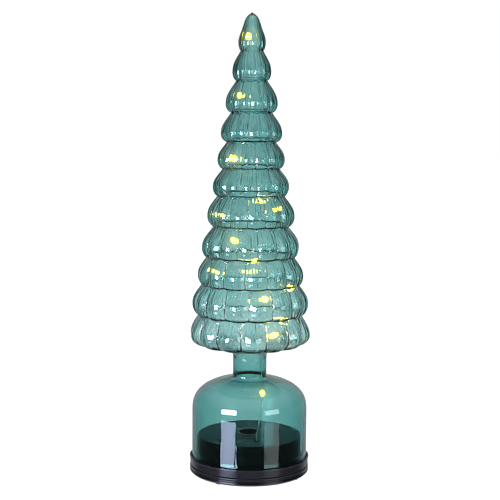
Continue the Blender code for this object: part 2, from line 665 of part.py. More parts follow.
def contact_slots():
    """Slots over the wells' ends, where the contacts' solder tabs come up."""
    shape = bmesh.new()
    half = CONTACT_WIDTH / 2 + FIT_GAP
    for side in (-1, 1):
        for end in (-1, 1):
            low, high = sorted((end * (WELL_INNER_Y - WELL_CONTACT_ROOM), end * WELL_INNER_Y))
            add_block(
                shape,
                (side * CELL_X - half, low, CELL_Z),
                (side * CELL_X + half, high, WELL_TOP_Z + CUT_OVERRUN),
            )
    return shape


def foot_places():
    """Centres of the feet, evenly round their circle."""
    step = 2 * math.pi / FOOT_COUNT
    return [at(FOOT_AZIMUTH + step * i, FOOT_CIRCLE) for i in range(FOOT_COUNT)]


def make_feet():
    """Rubber feet set in pockets under the tray."""
    top = TRAY_BOTTOM_Z + FOOT_POCKET - FIT_GAP
    profile = [(0, top), (FOOT_RADIUS, top), (FOOT_RADIUS, FOOT_PROUD / 2),
               (FOOT_RADIUS - FOOT_PROUD / 2, 0), (0, 0)]
    places = foot_places()
    first = add("rubber_foot_1", turned(profile, SMALL_SIDES, centre=places[0]), RUBBER, BASE,
                (*places[0], 0))
    for i, (x, y) in enumerate(places[1:], start=2):
        repeat(first, f"rubber_foot_{i}", (x, y, 0))


def make_case_screws():
    """Four screws from below, through the tray's floor into the housing's posts."""
    seat = TRAY_BOTTOM_Z + HEAD_HOLE_DEPTH - FIT_GAP
    first = screw("case_screw_1", BASE, (*POST_PLACES[0], seat), CASE_SCREW_LENGTH, True)
    for i, (x, y) in enumerate(POST_PLACES[1:], start=2):
        repeat(first, f"case_screw_{i}", (x, y, seat))


def make_motor_housing():
    """Standing cup over the cells, with a deck that carries the motor and four screw posts."""
    profile = [
        (0, DECK_TOP_Z), (HOUSING_RADIUS - HOUSING_EDGE, DECK_TOP_Z),
        (HOUSING_RADIUS, DECK_TOP_Z - HOUSING_EDGE), (HOUSING_RADIUS, HOUSING_FOOT_Z),
        (HOUSING_INNER, HOUSING_FOOT_Z), (HOUSING_INNER, DECK_UNDER_Z), (0, DECK_UNDER_Z),
    ]
    housing = add("motor_housing", turned(profile, HIDDEN_SIDES), BLACK_ABS, BASE)
    join(housing, rods(POST_PLACES, HOUSING_FOOT_Z, DECK_UNDER_Z + FIT_GAP, POST_RADIUS), "posts")
    holes = rods(POST_PLACES, HOUSING_FOOT_Z - CUT_OVERRUN,
                 TRAY_BOTTOM_Z + HEAD_HOLE_DEPTH + CASE_SCREW_LENGTH, HOLE_RADIUS)
    add_rod(holes, 0, 0, DECK_UNDER_Z - CUT_OVERRUN, DECK_TOP_Z + CUT_OVERRUN,
            SHAFT_RADIUS + FIT_GAP)
    for x, y in MOTOR_SCREW_PLACES:
        add_rod(holes, x, y, DECK_UNDER_Z - CUT_OVERRUN, DECK_TOP_Z + CUT_OVERRUN, HOLE_RADIUS)
    x, y = BRUSH_LEAD_PLACE
    add_rod(holes, x, y, DECK_UNDER_Z - CUT_OVERRUN, DECK_TOP_Z + CUT_OVERRUN,
            LEAD_RADIUS + FIT_GAP)
    cut(housing, holes, "holes")


def make_gear_motor():
    """Worm gearbox under the deck with the flat-sided motor can behind it."""
    half_y = MOTOR_GEARBOX_LENGTH / 2
    low, high = MOTOR_TOP_Z - MOTOR_HEIGHT, MOTOR_TOP_Z
    shape = prism(chamfered(MOTOR_WIDTH / 2, half_y, MOTOR_CORNER), low, high)
    motor = add("gear_motor", shape, STEEL, BASE)
    flat = math.degrees(math.acos(MOTOR_CAN_FLAT / MOTOR_CAN_RADIUS))
    outline = arc((0, MOTOR_Z), MOTOR_CAN_RADIUS, -90 + flat, 90 - flat, 6)
    outline += arc((0, MOTOR_Z), MOTOR_CAN_RADIUS, 90 + flat, 270 - flat, 6)
    can = prism(outline, half_y - CUT_OVERRUN, half_y + MOTOR_CAN_LENGTH, "Y")
    join(motor, can, "can")
    holes = rods(MOTOR_SCREW_PLACES, MOTOR_TOP_Z - MOTOR_SCREW_LENGTH, high + CUT_OVERRUN,
                 HOLE_RADIUS)
    add_rod(holes, 0, 0, SHAFT_FOOT_Z - FIT_GAP, high + CUT_OVERRUN, SHAFT_RADIUS + FIT_GAP)
    cut(motor, holes, "holes")
    seat = DECK_TOP_Z + FIT_GAP
    first = screw("motor_screw_1", BASE, (*MOTOR_SCREW_PLACES[0], seat), MOTOR_SCREW_LENGTH, False)
    repeat(first, "motor_screw_2", (*MOTOR_SCREW_PLACES[1], seat))


def make_cells():
    """Two cells, lying fore and aft, in opposite directions."""
    half = CELL_LENGTH / 2
    profile = [
        (0, -half), (CELL_RADIUS - CELL_SHOULDER, -half), (CELL_RADIUS, -half + CELL_SHOULDER),
        (CELL_RADIUS, half - CELL_NUB_LENGTH - CELL_SHOULDER),
        (CELL_RADIUS - CELL_SHOULDER, half - CELL_NUB_LENGTH),
        (CELL_NUB_RADIUS, half - CELL_NUB_LENGTH), (CELL_NUB_RADIUS, half), (0, half),
    ]
    for name, side in (("battery_cell_left", -1), ("battery_cell_right", 1)):
        shape = turned(profile, SMALL_SIDES + 4)
        lay_down = Matrix.Rotation(math.radians(90 * side), 4, "X")
        bmesh.ops.transform(shape, matrix=lay_down, verts=shape.verts)
        place = Vector((side * CELL_X, 0, CELL_Z))
        bmesh.ops.translate(shape, vec=place, verts=shape.verts)
        add(name, shape, CELL_JACKET, BASE, place)


def make_contacts():
    """Strip contacts at the wells' ends: shallow bend for the nub, deep one for the can."""
    top = WELL_TOP_Z + LEAD_ROOM / 4
    low = CELL_Z - CONTACT_WIDTH / 2
    back = WELL_INNER_Y - FIT_GAP
    for side, name in ((-1, "left"), (1, "right")):
        for end in (-1, 1):
            sign = "plus" if end == -side else "minus"
            bend = WELL_CONTACT_ROOM - CONTACT_THICKNESS - 2 * FIT_GAP
            face = back - CONTACT_THICKNESS
            outline = [(back, low), (back, top), (face, top)]
            if sign == "minus":
                outline += [
                    (face, CELL_Z + CONTACT_WIDTH / 4), (face - bend, CELL_Z + CONTACT_WIDTH / 8),
                    (face - bend, CELL_Z - CONTACT_WIDTH / 8), (face, CELL_Z - CONTACT_WIDTH / 4),
                ]
            outline = [(end * y, z) for y, z in outline + [(face, low)]]
            half = CONTACT_WIDTH / 2
            shape = prism(outline, side * CELL_X - half, side * CELL_X + half, "X")
            place = (side * CELL_X, end * back, CELL_Z)
            add(f"contact_{sign}_{name}", shape, NICKEL, BASE, place)


def make_battery_door():
    """Door flush with the tray's underside, hung on two tabs at the front."""
    shape = prism(chamfered(DOOR_HALF_X, DOOR_HALF_Y, DOOR_CORNER), TRAY_BOTTOM_Z, DOOR_TOP_Z)
    door = add("battery_door", shape, BLACK_ABS, DOOR, DOOR_AXIS)
    extras = bmesh.new()
    rib_half_y = DOOR_HALF_Y * DOOR_RIB_LENGTH_SHARE
    for side in (-1, 1):
        add_block(
            extras,
            (side * CELL_X - DOOR_RIB_WIDTH / 2, -rib_half_y, DOOR_TOP_Z - FIT_GAP),
            (side * CELL_X + DOOR_RIB_WIDTH / 2, rib_half_y, DOOR_TOP_Z + DOOR_RIB_HEIGHT),
        )
        add_block(
            extras,
            (side * DOOR_TAB_X - DOOR_TAB_WIDTH / 2, -DOOR_HALF_Y - DOOR_TAB_LENGTH,
             DOOR_TOP_Z - DOOR_TAB_THICKNESS),
            (side * DOOR_TAB_X + DOOR_TAB_WIDTH / 2, -DOOR_HALF_Y + DOOR_TAB_LENGTH, DOOR_TOP_Z),
        )
    join(door, extras, "ribs_and_tabs")
    holes = rods([(0, DOOR_SCREW_Y)], TRAY_BOTTOM_Z - CUT_OVERRUN, DOOR_TOP_Z + CUT_OVERRUN,
                 HOLE_RADIUS)
    cut(door, holes, "screw_hole")
    seat = TRAY_BOTTOM_Z + SCREW_HEAD_HEIGHT
    recess = rods([(0, DOOR_SCREW_Y)], TRAY_BOTTOM_Z - CUT_OVERRUN, seat + FIT_GAP,
                  HEAD_HOLE_RADIUS)
    cut(door, recess, "head_recess")
    screw("battery_door_screw", DOOR, (0, DOOR_SCREW_Y, seat), DOOR_SCREW_LENGTH, True)


def make_switch():
    """Slide switch under the board; its knob comes down through the tray's floor."""
    half_x, half_y = SWITCH_WIDTH / 2, SWITCH_DEPTH / 2
    shape = block((-half_x, SWITCH_Y - half_y, SWITCH_BOTTOM_Z),
                  (half_x, SWITCH_Y + half_y, SWITCH_TOP_Z))
    body = add("switch_body", shape, STEEL, BASE, (0, SWITCH_Y, SWITCH_BOTTOM_Z))
    slot_x = KNOB_WIDTH / 2 + SWITCH_TRAVEL + FIT_GAP
    slot_y = KNOB_DEPTH / 2 + FIT_GAP
    knob_top = SWITCH_BOTTOM_Z + SWITCH_HEIGHT / 2
    slot = block((-slot_x, SWITCH_Y - slot_y, SWITCH_BOTTOM_Z - CUT_OVERRUN),
                 (slot_x, SWITCH_Y + slot_y, knob_top + FIT_GAP))
    cut(body, slot, "knob_slot")
    knob = block((-KNOB_WIDTH / 2, SWITCH_Y - KNOB_DEPTH / 2, TRAY_BOTTOM_Z + KNOB_RECESS),
                 (KNOB_WIDTH / 2, SWITCH_Y + KNOB_DEPTH / 2, knob_top))
    add("switch_knob", knob, ACETAL, KNOB, KNOB_PLACE)


def make_control_board():
    """Small circuit board over the switch, with its timer chip."""
    front = SWITCH_Y - SWITCH_DEPTH / 2
    half = LANE_HALF - FIT_GAP
    top = BOARD_Z + BOARD_THICKNESS
    shape = block((-half, front, BOARD_Z), (half, front + BOARD_LENGTH, top))
    board = add("control_board", shape, BOARD_GREEN, BASE)
    chip_y = front + BOARD_LENGTH / 2
    chip = block((-BOARD_CHIP / 2, chip_y - BOARD_CHIP / 2, top - FIT_GAP),
                 (BOARD_CHIP / 2, chip_y + BOARD_CHIP / 2, top + BOARD_CHIP_HEIGHT))
    join(board, chip, "chip")


def tube(name, points, radius, material, holder, resolution):
    """A round wire along a line of points, with closed ends."""
    curve = bpy.data.curves.new(name, "CURVE")
    curve.dimensions = "3D"
    curve.bevel_depth = radius
    curve.bevel_resolution = resolution
    curve.use_fill_caps = True
    spline = curve.splines.new("POLY")
    spline.points.add(len(points) - 1)
    for target, point in zip(spline.points, points):
        target.co = (*point, 1.0)
    curve.materials.append(material)
    piece = bpy.data.objects.new(name, curve)
    bpy.context.scene.collection.objects.link(piece)
    piece.parent = holder


def make_leads():
    """Insulated leads between contacts, board, motor and brush block."""
    tab_z = WELL_TOP_Z + LEAD_ROOM / 2
    tab_y = WELL_INNER_Y - WELL_CONTACT_ROOM / 2
    tube("cell_link_lead", [
        (-CELL_X, tab_y, tab_z), (0, tab_y + LEAD_RADIUS, tab_z), (CELL_X, tab_y, tab_z),
    ], LEAD_RADIUS, LEAD_RED, BASE, 1)
    board_top = BOARD_Z + BOARD_THICKNESS + FIT_GAP
    lead_x = LANE_HALF - LEAD_RADIUS * 2
    front = SWITCH_Y + SWITCH_DEPTH / 2
    tube("supply_lead", [
        (CELL_X, -tab_y, tab_z), (lead_x + LEAD_RADIUS, -tab_y, tab_z),
        (lead_x, -tab_y, tab_z - LEAD_RADIUS), (lead_x, -tab_y, board_top),
    ], LEAD_RADIUS, LEAD_RED, BASE, 1)
    lane_x = MOTOR_WIDTH / 2 + MOTOR_SIDE_GAP / 2
    gearbox_y = MOTOR_GEARBOX_LENGTH / 2
    can_end_y = gearbox_y + MOTOR_CAN_LENGTH
    tube("motor_lead", [
        (lead_x, front + BOARD_LENGTH / 2, board_top), (lead_x, front + BOARD_LENGTH / 2, MOTOR_Z),
        (lane_x, -gearbox_y, MOTOR_Z), (lane_x, gearbox_y, MOTOR_Z),
        (MOTOR_CAN_RADIUS + LEAD_RADIUS * 2, can_end_y, MOTOR_Z),
        (LEAD_RADIUS * 4, can_end_y + LEAD_RADIUS * 2, MOTOR_Z),
    ], LEAD_RADIUS * 3 / 4, LEAD_RED, BASE, 1)
    x, y = BRUSH_LEAD_PLACE
    over_deck = DECK_TOP_Z + LEAD_RADIUS * 3
    tube("brush_lead", [
        (x, y, board_top), (x, y, DECK_TOP_Z + LEAD_RADIUS * 2),
        (x - LEAD_RADIUS * 4, y + LEAD_RADIUS * 2, over_deck),
        (BRUSH_BLOCK_X[1] + FIT_GAP, BRUSH_BLOCK_Y[0] + LEAD_RADIUS * 2, over_deck),
    ], LEAD_RADIUS, LEAD_RED, BASE, 1)


def make_brushes():
    """Block on the deck with two spring brushes, one under each slip ring."""
    shape = block((BRUSH_BLOCK_X[0], BRUSH_BLOCK_Y[0], BRUSH_BLOCK_Z),
                  (BRUSH_BLOCK_X[1], BRUSH_BLOCK_Y[1], BRUSH_BLOCK_Z + BRUSH_BLOCK_HEIGHT))
    add("brush_block", shape, ACETAL, BASE)
    foot, tip = BRUSH_FOOT_Z, BRUSH_TIP_Z
    reach = BRUSH_REACH - BRUSH_FOOT / 2
    knee = reach * 3 / 4
    outline = [
        (-BRUSH_FOOT, foot), (0, foot), (knee, tip - BRUSH_THICKNESS),
        (reach, tip - BRUSH_THICKNESS), (reach, tip), (knee - BRUSH_THICKNESS, tip),
        (-BRUSH_THICKNESS, foot + BRUSH_THICKNESS), (-BRUSH_FOOT, foot + BRUSH_THICKNESS),
    ]
    for name, radius in (("inner_brush", SLIP_RING_INNER_RADIUS),
                         ("outer_brush", SLIP_RING_OUTER_RADIUS)):
        x = -(radius + SLIP_RING_WIDTH / 2)
        shape = prism(outline, x - BRUSH_WIDTH / 2, x + BRUSH_WIDTH / 2, "X")
        add(name, shape, NICKEL, BASE)


def make_glide_ring():
    """Acetal ring on the tray's track, which the drum's flange slides on."""
    shape = flat_ring(TRACK_INNER, TRACK_OUTER, TRACK_TOP_Z + FIT_GAP, GLIDE_TOP_Z)
    add("glide_ring", shape, ACETAL, BASE)


def make_drum():
    """Turning drum, its hub and the seat ring round it, one moulding."""
    lip_z = RING_TOP_Z - RING_LIP_HEIGHT
    pad_top = DRUM_TOP_Z + PAD_HEIGHT
    profile = [
        (0, RECESS_FLOOR_Z), (RECESS_RADIUS, RECESS_FLOOR_Z), (RECESS_RADIUS, COLLAR_TOP_Z),
        (COLLAR_RADIUS - PAD_HEIGHT, COLLAR_TOP_Z), (COLLAR_RADIUS, pad_top),
        (PAD_RADIUS - PAD_HEIGHT, pad_top), (PAD_RADIUS, DRUM_TOP_Z),
        *arc((DRUM_RADIUS - DRUM_EDGE, DRUM_TOP_Z - DRUM_EDGE), DRUM_EDGE, 90, 0, 2),
        (DRUM_RADIUS, FLANGE_TOP_Z), (RING_INNER, FLANGE_TOP_Z),
        (RING_INNER, lip_z), (RING_INNER + RING_LIP, RING_TOP_Z),
        (RING_RADIUS + RING_LIP, RING_TOP_Z), (RING_RADIUS + RING_LIP, lip_z + RING_LIP),
        (RING_RADIUS, lip_z), (RING_RADIUS, RING_BOTTOM_Z + RING_LIP),
        (RING_RADIUS - RING_LIP, RING_BOTTOM_Z), (RING_RADIUS - RING_SKIRT, RING_BOTTOM_Z),
        (RING_RADIUS - RING_SKIRT, FLANGE_UNDER_Z), (DRUM_INNER, FLANGE_UNDER_Z),
        (DRUM_INNER, DRUM_UNDER_Z), (RECESS_RADIUS + RECESS_WALL, DRUM_UNDER_Z),
        (RECESS_RADIUS + RECESS_WALL, HUB_UNDER_Z), (HUB_BOSS_RADIUS, HUB_UNDER_Z),
        (HUB_BOSS_RADIUS, BOSS_END_Z), (0, BOSS_END_Z),
    ]
    drum = add("turntable_drum", turned(profile), BLACK_ABS, TURNTABLE)
    bore = prism(shaft_outline(FIT_GAP), BOSS_END_Z - CUT_OVERRUN, RECESS_FLOOR_Z + CUT_OVERRUN)
    cut(drum, bore, "shaft_hole")
    below, above = DRUM_UNDER_Z - CUT_OVERRUN, pad_top + CUT_OVERRUN
    holes = rods([WIRE_HOLE], below, above, GROMMET_HOLE)
    for x, y in BOARD_SCREW_PLACES:
        add_rod(holes, x, y, below, above, HOLE_RADIUS)
    cut(drum, holes, "holes")
    recesses = rods(BOARD_SCREW_PLACES, BOARD_SCREW_SEAT_Z - FIT_GAP, above, HEAD_HOLE_RADIUS)
    cut(drum, recesses, "head_recesses")


def shaft_outline(gap):
    """The shaft's round section with one flat, grown by a gap."""
    radius = SHAFT_RADIUS + gap
    flat = math.degrees(math.acos(SHAFT_FLAT_SHARE))
    return arc((0, 0), radius, flat, 360 - flat, SMALL_SIDES)


def make_shaft():
    """Motor's output shaft with the screw and washer that hold the drum down on it."""
    top = RECESS_FLOOR_Z
    shaft = add("output_shaft", prism(shaft_outline(0), SHAFT_FOOT_Z, top), STEEL, TURNTABLE)
    cut(shaft, rods([(0, 0)], top - HUB_SCREW_LENGTH - FIT_GAP, top + CUT_OVERRUN, HOLE_RADIUS),
        "screw_hole")
    washer_low = RECESS_FLOOR_Z + FIT_GAP
    washer_high = washer_low + SCREW_HEAD_HEIGHT / 2
    outer = (RECESS_RADIUS + SCREW_HEAD_RADIUS) / 2
    washer = [(HOLE_RADIUS, washer_low), (outer, washer_low), (outer, washer_high),
              (HOLE_RADIUS, washer_high)]
    add("hub_washer", turned(washer, SMALL_SIDES, closed=True), STEEL, TURNTABLE)
    screw("hub_screw", TURNTABLE, (0, 0, washer_high + FIT_GAP), HUB_SCREW_LENGTH, False)


def make_slip_rings():
    """Board under the drum's top with two copper rings that feed the LED string."""
    low, high = SLIP_BOARD_UNDER_Z, SLIP_BOARD_TOP_Z
    board = add("slip_ring_board", flat_ring(SLIP_BOARD_INNER, SLIP_BOARD_OUTER, low, high),
                BOARD_GREEN, TURNTABLE)
    cut(board, rods(BOARD_SCREW_PLACES, low - CUT_OVERRUN, high + CUT_OVERRUN, HOLE_RADIUS), "holes")
    for name, radius in (("inner_slip_ring", SLIP_RING_INNER_RADIUS),
                         ("outer_slip_ring", SLIP_RING_OUTER_RADIUS)):
        shape = flat_ring(radius, radius + SLIP_RING_WIDTH, SLIP_RING_UNDER_Z, SLIP_RING_TOP_Z)
        add(name, shape, COPPER, TURNTABLE)
    first = screw("board_screw_1", TURNTABLE, (*BOARD_SCREW_PLACES[0], BOARD_SCREW_SEAT_Z),
                  BOARD_SCREW_LENGTH, False)
    repeat(first, "board_screw_2", (*BOARD_SCREW_PLACES[1], BOARD_SCREW_SEAT_Z))


def make_grommet():
    """Sleeve in the drum's top that the LED string comes up through."""
    bore, outer = WIRE_RADIUS + FIT_GAP, GROMMET_HOLE - FIT_GAP
    seat = DRUM_TOP_Z + FIT_GAP
    top = seat + GROMMET_FLANGE_HEIGHT
    profile = [
        (bore, DRUM_UNDER_Z), (outer, DRUM_UNDER_Z), (outer, seat), (outer + GROMMET_FLANGE, seat),
        (outer + GROMMET_FLANGE / 2, top), (bore, top),
    ]
    shape = turned(profile, SMALL_SIDES, closed=True, centre=WIRE_HOLE)
    add("wire_grommet", shape, RUBBER, TURNTABLE, (*WIRE_HOLE, seat))


def make_gasket():
    """Soft ring between the seat ring's floor and the glass rim."""
    shape = flat_ring(GLASS_INNER - GASKET_OVERHANG, RING_INNER - FIT_GAP,
                      GASKET_BOTTOM_Z, GASKET_TOP_Z, ROUND_SIDES)
    add("glass_gasket", shape, RUBBER, TURNTABLE)


def glass_rows(wall):
    """Rows of the blown shell from the rim to the tip, drawn in by a wall's thickness.

    A row is (radius, height, crease depth share, drop share, azimuth of a crease). The inner
    wall leaves out the rows between swells and necks.
    """
    inward = wall > 0
    rows = [(GLASS_RADIUS - wall, GLASS_RIM_Z, 0, 0, 0)]
    span = GLASS_RADIUS - GLASS_TRUNK_RADIUS
    for out_share, down_share in reversed(SHOULDER_SHARES):
        inset = wall * (SHOULDER_WALL_SHARE + (1 - SHOULDER_WALL_SHARE) * down_share)
        sunk = wall * (1 - down_share)
        rows.append((GLASS_TRUNK_RADIUS + out_share * span - inset,
                     TRUNK_FOOT_Z - down_share * GLASS_SHOULDER - sunk, 0, 0, 0))
    rows.append((GLASS_TRUNK_RADIUS - wall, TRUNK_FOOT_Z, 0, 0, 0))
    rows.append((GLASS_TRUNK_RADIUS - wall, TRUNK_TOP_Z + wall / 2, 0, 0, 0))
    heights = [TRUNK_TOP_Z + share * GLASS_TREE_LENGTH for share in TIER_HEIGHT_SHARES]
    radii = [share * GLASS_TREE_RADIUS for share in TIER_RADIUS_SHARES]
    skirt = zip(reversed(SKIRT_SHARES), reversed(SKIRT_CREASE_SHARES))
    for (radius_share, height_share), crease_share in skirt:
        rows.append((radius_share * GLASS_TREE_RADIUS - wall / 2,
                     TRUNK_TOP_Z + height_share * (heights[0] - TRUNK_TOP_Z) + wall,
                     crease_share, crease_share, TIER_TURNS[0]))
    rows.append((radii[0] - wall, heights[0], *SWELL_CREASE_SHARES, TIER_TURNS[0]))
    slant_down, slant_out = SLANT_SHARES
    tuck_down, tuck_in = TUCK_SHARES
    for i, (height_share, radius_share) in enumerate(zip(NECK_HEIGHT_SHARES, NECK_RADIUS_SHARES)):
        height = TRUNK_TOP_Z + height_share * GLASS_TREE_LENGTH
        radius = radius_share * GLASS_TREE_RADIUS
        slant = (radius + slant_out * (radii[i] - radius),
                 height + slant_down * (heights[i] - height), *SLANT_CREASE_SHARES, TIER_TURNS[i])
        neck = (radius - wall, height, *NECK_CREASE_SHARES, TIER_TURNS[i])
        above = i + 1
        tuck = (radii[above] - tuck_in * (radii[above] - radius),
                heights[above] - tuck_down * (heights[above] - height),
                *TUCK_CREASE_SHARES, TIER_TURNS[above])
        rows += [neck] if inward else [slant, neck, tuck]
        rows.append((radii[above] - wall, heights[above], *SWELL_CREASE_SHARES, TIER_TURNS[above]))
    for radius_share, height_share in TIP_SHARES:
        if not inward or height_share <= TIP_HOLLOW_SHARE:
            rows.append((radius_share * radii[-1] - wall,
                         heights[-1] + height_share * (TIP_Z - heights[-1]),
                         TIP_CREASE_SHARE * (1 - height_share), 0, TIER_TURNS[-1]))
    return rows


def glass_ring(shape, row, columns):
    """One fluted ring, turned so that its creases fall on its own vertices."""
    radius, height, depth_share, drop_share, turn = row
    step = 360 / columns
    offset = (turn + step / 2) % step - step / 2
    ring = []
    for i in range(columns):
        azimuth = math.radians(offset + i * step)
        lobe = abs(math.sin(FLUTES / 2 * (azimuth - math.radians(turn))))
        inset = radius * FLUTE_DEPTH_SHARE * depth_share * (1 - lobe)
        drop = radius * FLUTE_DROP_SHARE * drop_share * lobe
        x, y = at(azimuth, radius - inset)
        ring.append(shape.verts.new((x, y, height - drop)))
    return ring


def make_glass():
    """The tree: eleven fluted tiers, trunk and open-bottomed dome, blown in one piece."""
    shape = bmesh.new()
    columns = FLUTES * GLASS_SIDES_PER_FLUTE
    outside = [glass_ring(shape, row, columns) for row in glass_rows(0)]
    inside = [glass_ring(shape, row, columns // 2) for row in glass_rows(GLASS_WALL)]
    outside.append([shape.verts.new((0, 0, TIP_Z))])
    last = glass_rows(GLASS_WALL)[-1]
    inside.append([shape.verts.new((0, 0, last[1] + last[0]))])
    for rows in (outside, inside):
        for low, high in zip(rows, rows[1:]):
            bridge(shape, low, high)
    bridge(shape, outside[0], inside[0])
    add("glass_tree", shape, GLASS, TURNTABLE)


def smooth_point(points, i, share):
    """A point between waypoints i and i + 1 on a smooth curve through all of them."""
    before = points[max(i - 1, 0)]
    start, end = points[i], points[i + 1]
    after = points[min(i + 2, len(points) - 1)]
    a = 2 * start
    b = end - before
    c = 2 * before - 5 * start + 4 * end - after
    d = 3 * start - before - 3 * end + after
    return (a + b * share + c * share ** 2 + d * share ** 3) / 2


def wire_route():
    """The LED string's own points, in order, each with its kind: bend or led."""
    rooms = (
        (DOME_ROUTE_SHARES, WIRE_HOLE_RADIUS, DRUM_TOP_Z, TRUNK_FOOT_Z),
        (TRUNK_ROUTE_SHARES, GLASS_TRUNK_RADIUS - GLASS_WALL, TRUNK_FOOT_Z, TRUNK_TOP_Z),
        (TREE_ROUTE_SHARES, GLASS_TREE_RADIUS, TRUNK_TOP_Z, TIP_Z),
    )
    route = [("bend", Vector((*WIRE_HOLE, DRUM_UNDER_Z + FIT_GAP)))]
    for shares, across, low, high in rooms:
        for kind, x, y, z in shares:
            route.append((kind, Vector((x * across, y * across, low + z * (high - low)))))
    return route


def wire_line():
    """Points of the LED wire, straight where it passes through a bead, and the beads' places."""
    route = wire_route()
    points = [point for _, point in route]
    line, beads = [], []
    for i, (kind, here) in enumerate(route):
        ahead = points[min(i + 1, len(points) - 1)] - points[max(i - 1, 0)]
        way = ahead.normalized()
        if kind == "led":
            half = way * (BEAD_LENGTH / 2 + WIRE_RADIUS)
            line += [here - half, here + half]
            beads.append((here, way))
        else:
            line.append(here)
        if i == len(points) - 1:
            break
        steps = round((points[i + 1] - here).length / WIRE_POINT_SPACING)
        for k in range(1, steps + 1):
            line.append(smooth_point(points, i, k / (steps + 1)))
    return line, beads


def make_led_string():
    """Two-strand wire as one tube, and an LED bead threaded on it at each LED."""
    line, beads = wire_line()
    tube("led_wire", line, WIRE_RADIUS, WIRE_METAL, TURNTABLE, 1)
    bore = WIRE_RADIUS + FIT_GAP
    half = BEAD_LENGTH / 2
    end = BEAD_RADIUS * BEAD_END_SHARE
    profile = [(bore, -half), (end, -half), (BEAD_RADIUS, 0), (end, half), (bore, half)]
    for i, (place, way) in enumerate(beads, start=1):
        shape = turned(profile, BEAD_SIDES, closed=True)
        turn = way.to_track_quat("Z", "Y").to_matrix().to_4x4()
        bmesh.ops.transform(shape, matrix=Matrix.Translation(place) @ turn, verts=shape.verts)
        add(f"led_bead_{i:02d}", shape, LED_RESIN, TURNTABLE, place)


make_base_tray()
make_feet()
make_case_screws()
make_motor_housing()
make_gear_motor()
make_cells()
make_contacts()
make_battery_door()
make_switch()
make_control_board()
make_leads()
make_brushes()
make_glide_ring()
make_drum()
make_shaft()
make_slip_rings()
make_grommet()
make_gasket()
make_glass()
make_led_string()
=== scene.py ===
"""LED tree lamp: a mould-blown teal glass tree on a battery turntable, dressed for a studio picture."""
import json
import math
from functools import cache

import bmesh
import bpy
from bpy.props import FloatProperty, FloatVectorProperty, IntProperty, PointerProperty
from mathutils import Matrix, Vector

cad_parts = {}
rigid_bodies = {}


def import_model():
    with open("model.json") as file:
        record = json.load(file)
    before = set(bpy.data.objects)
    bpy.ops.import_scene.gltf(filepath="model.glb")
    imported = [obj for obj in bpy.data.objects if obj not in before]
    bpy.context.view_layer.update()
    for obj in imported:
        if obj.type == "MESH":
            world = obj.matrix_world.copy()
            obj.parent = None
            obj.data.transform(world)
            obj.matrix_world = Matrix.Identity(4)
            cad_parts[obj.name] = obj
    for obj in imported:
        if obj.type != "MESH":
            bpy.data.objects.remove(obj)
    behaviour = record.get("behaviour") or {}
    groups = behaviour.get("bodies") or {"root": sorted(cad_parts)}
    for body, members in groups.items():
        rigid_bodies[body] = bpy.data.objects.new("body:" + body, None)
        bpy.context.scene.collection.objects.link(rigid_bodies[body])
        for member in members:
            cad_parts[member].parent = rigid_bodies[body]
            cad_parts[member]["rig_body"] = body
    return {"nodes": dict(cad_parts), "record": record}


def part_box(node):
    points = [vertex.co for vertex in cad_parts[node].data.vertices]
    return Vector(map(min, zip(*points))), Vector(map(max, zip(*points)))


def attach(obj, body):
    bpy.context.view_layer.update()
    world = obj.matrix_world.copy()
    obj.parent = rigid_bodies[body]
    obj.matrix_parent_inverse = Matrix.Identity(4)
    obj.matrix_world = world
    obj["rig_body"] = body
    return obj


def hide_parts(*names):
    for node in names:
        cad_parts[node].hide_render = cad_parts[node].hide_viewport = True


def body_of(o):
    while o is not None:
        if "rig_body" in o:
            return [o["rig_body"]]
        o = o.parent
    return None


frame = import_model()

bl_info = {
    "name": "LED tree lamp",
    "version": (1, 0, 0),
    "blender": (4, 5, 0),
    "location": "View3D > Sidebar > Tree lamp",
    "description": "Builds the pieces, finishes and studio of a glass LED tree lamp",
    "category": "Object",
}

MM = 0.001
MATH, VECTOR_MATH, MIX = "ShaderNodeMath", "ShaderNodeVectorMath", "ShaderNodeMix"
RAMP, NOISE, BUMP = "ShaderNodeMapRange", "ShaderNodeTexNoise", "ShaderNodeBump"
NODES = frame["nodes"]
SLOT_OF = {part["node"]: part["material_slot"] for part in frame["record"]["subparts"]}


# ---------------------------------------------------------------- sizes of the pieces

GLASS_LOW, GLASS_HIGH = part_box("glass_tree")
TIP_Z, RIM_Z = GLASS_HIGH.z, GLASS_LOW.z
SEAT_INSIDE = 50.45        # millimetres from the axis, where the drum ends and its seat ring begins
RECESS_RADIUS, RECESS_TOP = 8.75, 36.5     # millimetres: the hub's recess lies inside and below these

# the glass's outline in millimetres, from the top: (height, radius) of each tier's widest place and of
# the neck under it
TIERS = (
    (375.7, 11.8), (350.3, 16.8), (323.2, 22.4), (297.6, 26.6), (275.3, 29.3), (252.0, 33.4),
    (226.9, 38.0), (199.9, 42.6), (175.3, 46.2), (150.7, 50.6), (123.2, 52.8),
)
NECKS = (
    (368.1, 10.0), (342.7, 13.8), (315.5, 18.2), (290.3, 21.7), (267.5, 25.2), (244.2, 29.5),
    (217.7, 33.2), (191.1, 38.5), (167.0, 42.8), (140.5, 45.8),
)
TRUNK_RADIUS, TRUNK_TOP, TRUNK_FOOT = 14.7, 105.4, 87.4
SEAM_DEPTH = 0.25           # millimetres that the seam between two tiers goes in beyond their outlines
SEAM_WALL = 1.3             # the wall there, as a share of the wall beside it
INNER_STEP = 1.5            # millimetres between the rows of the inside wall, the smoother one
INNER_HOLE = 1.2            # millimetres: the inside wall is nowhere narrower, so the tip is solid
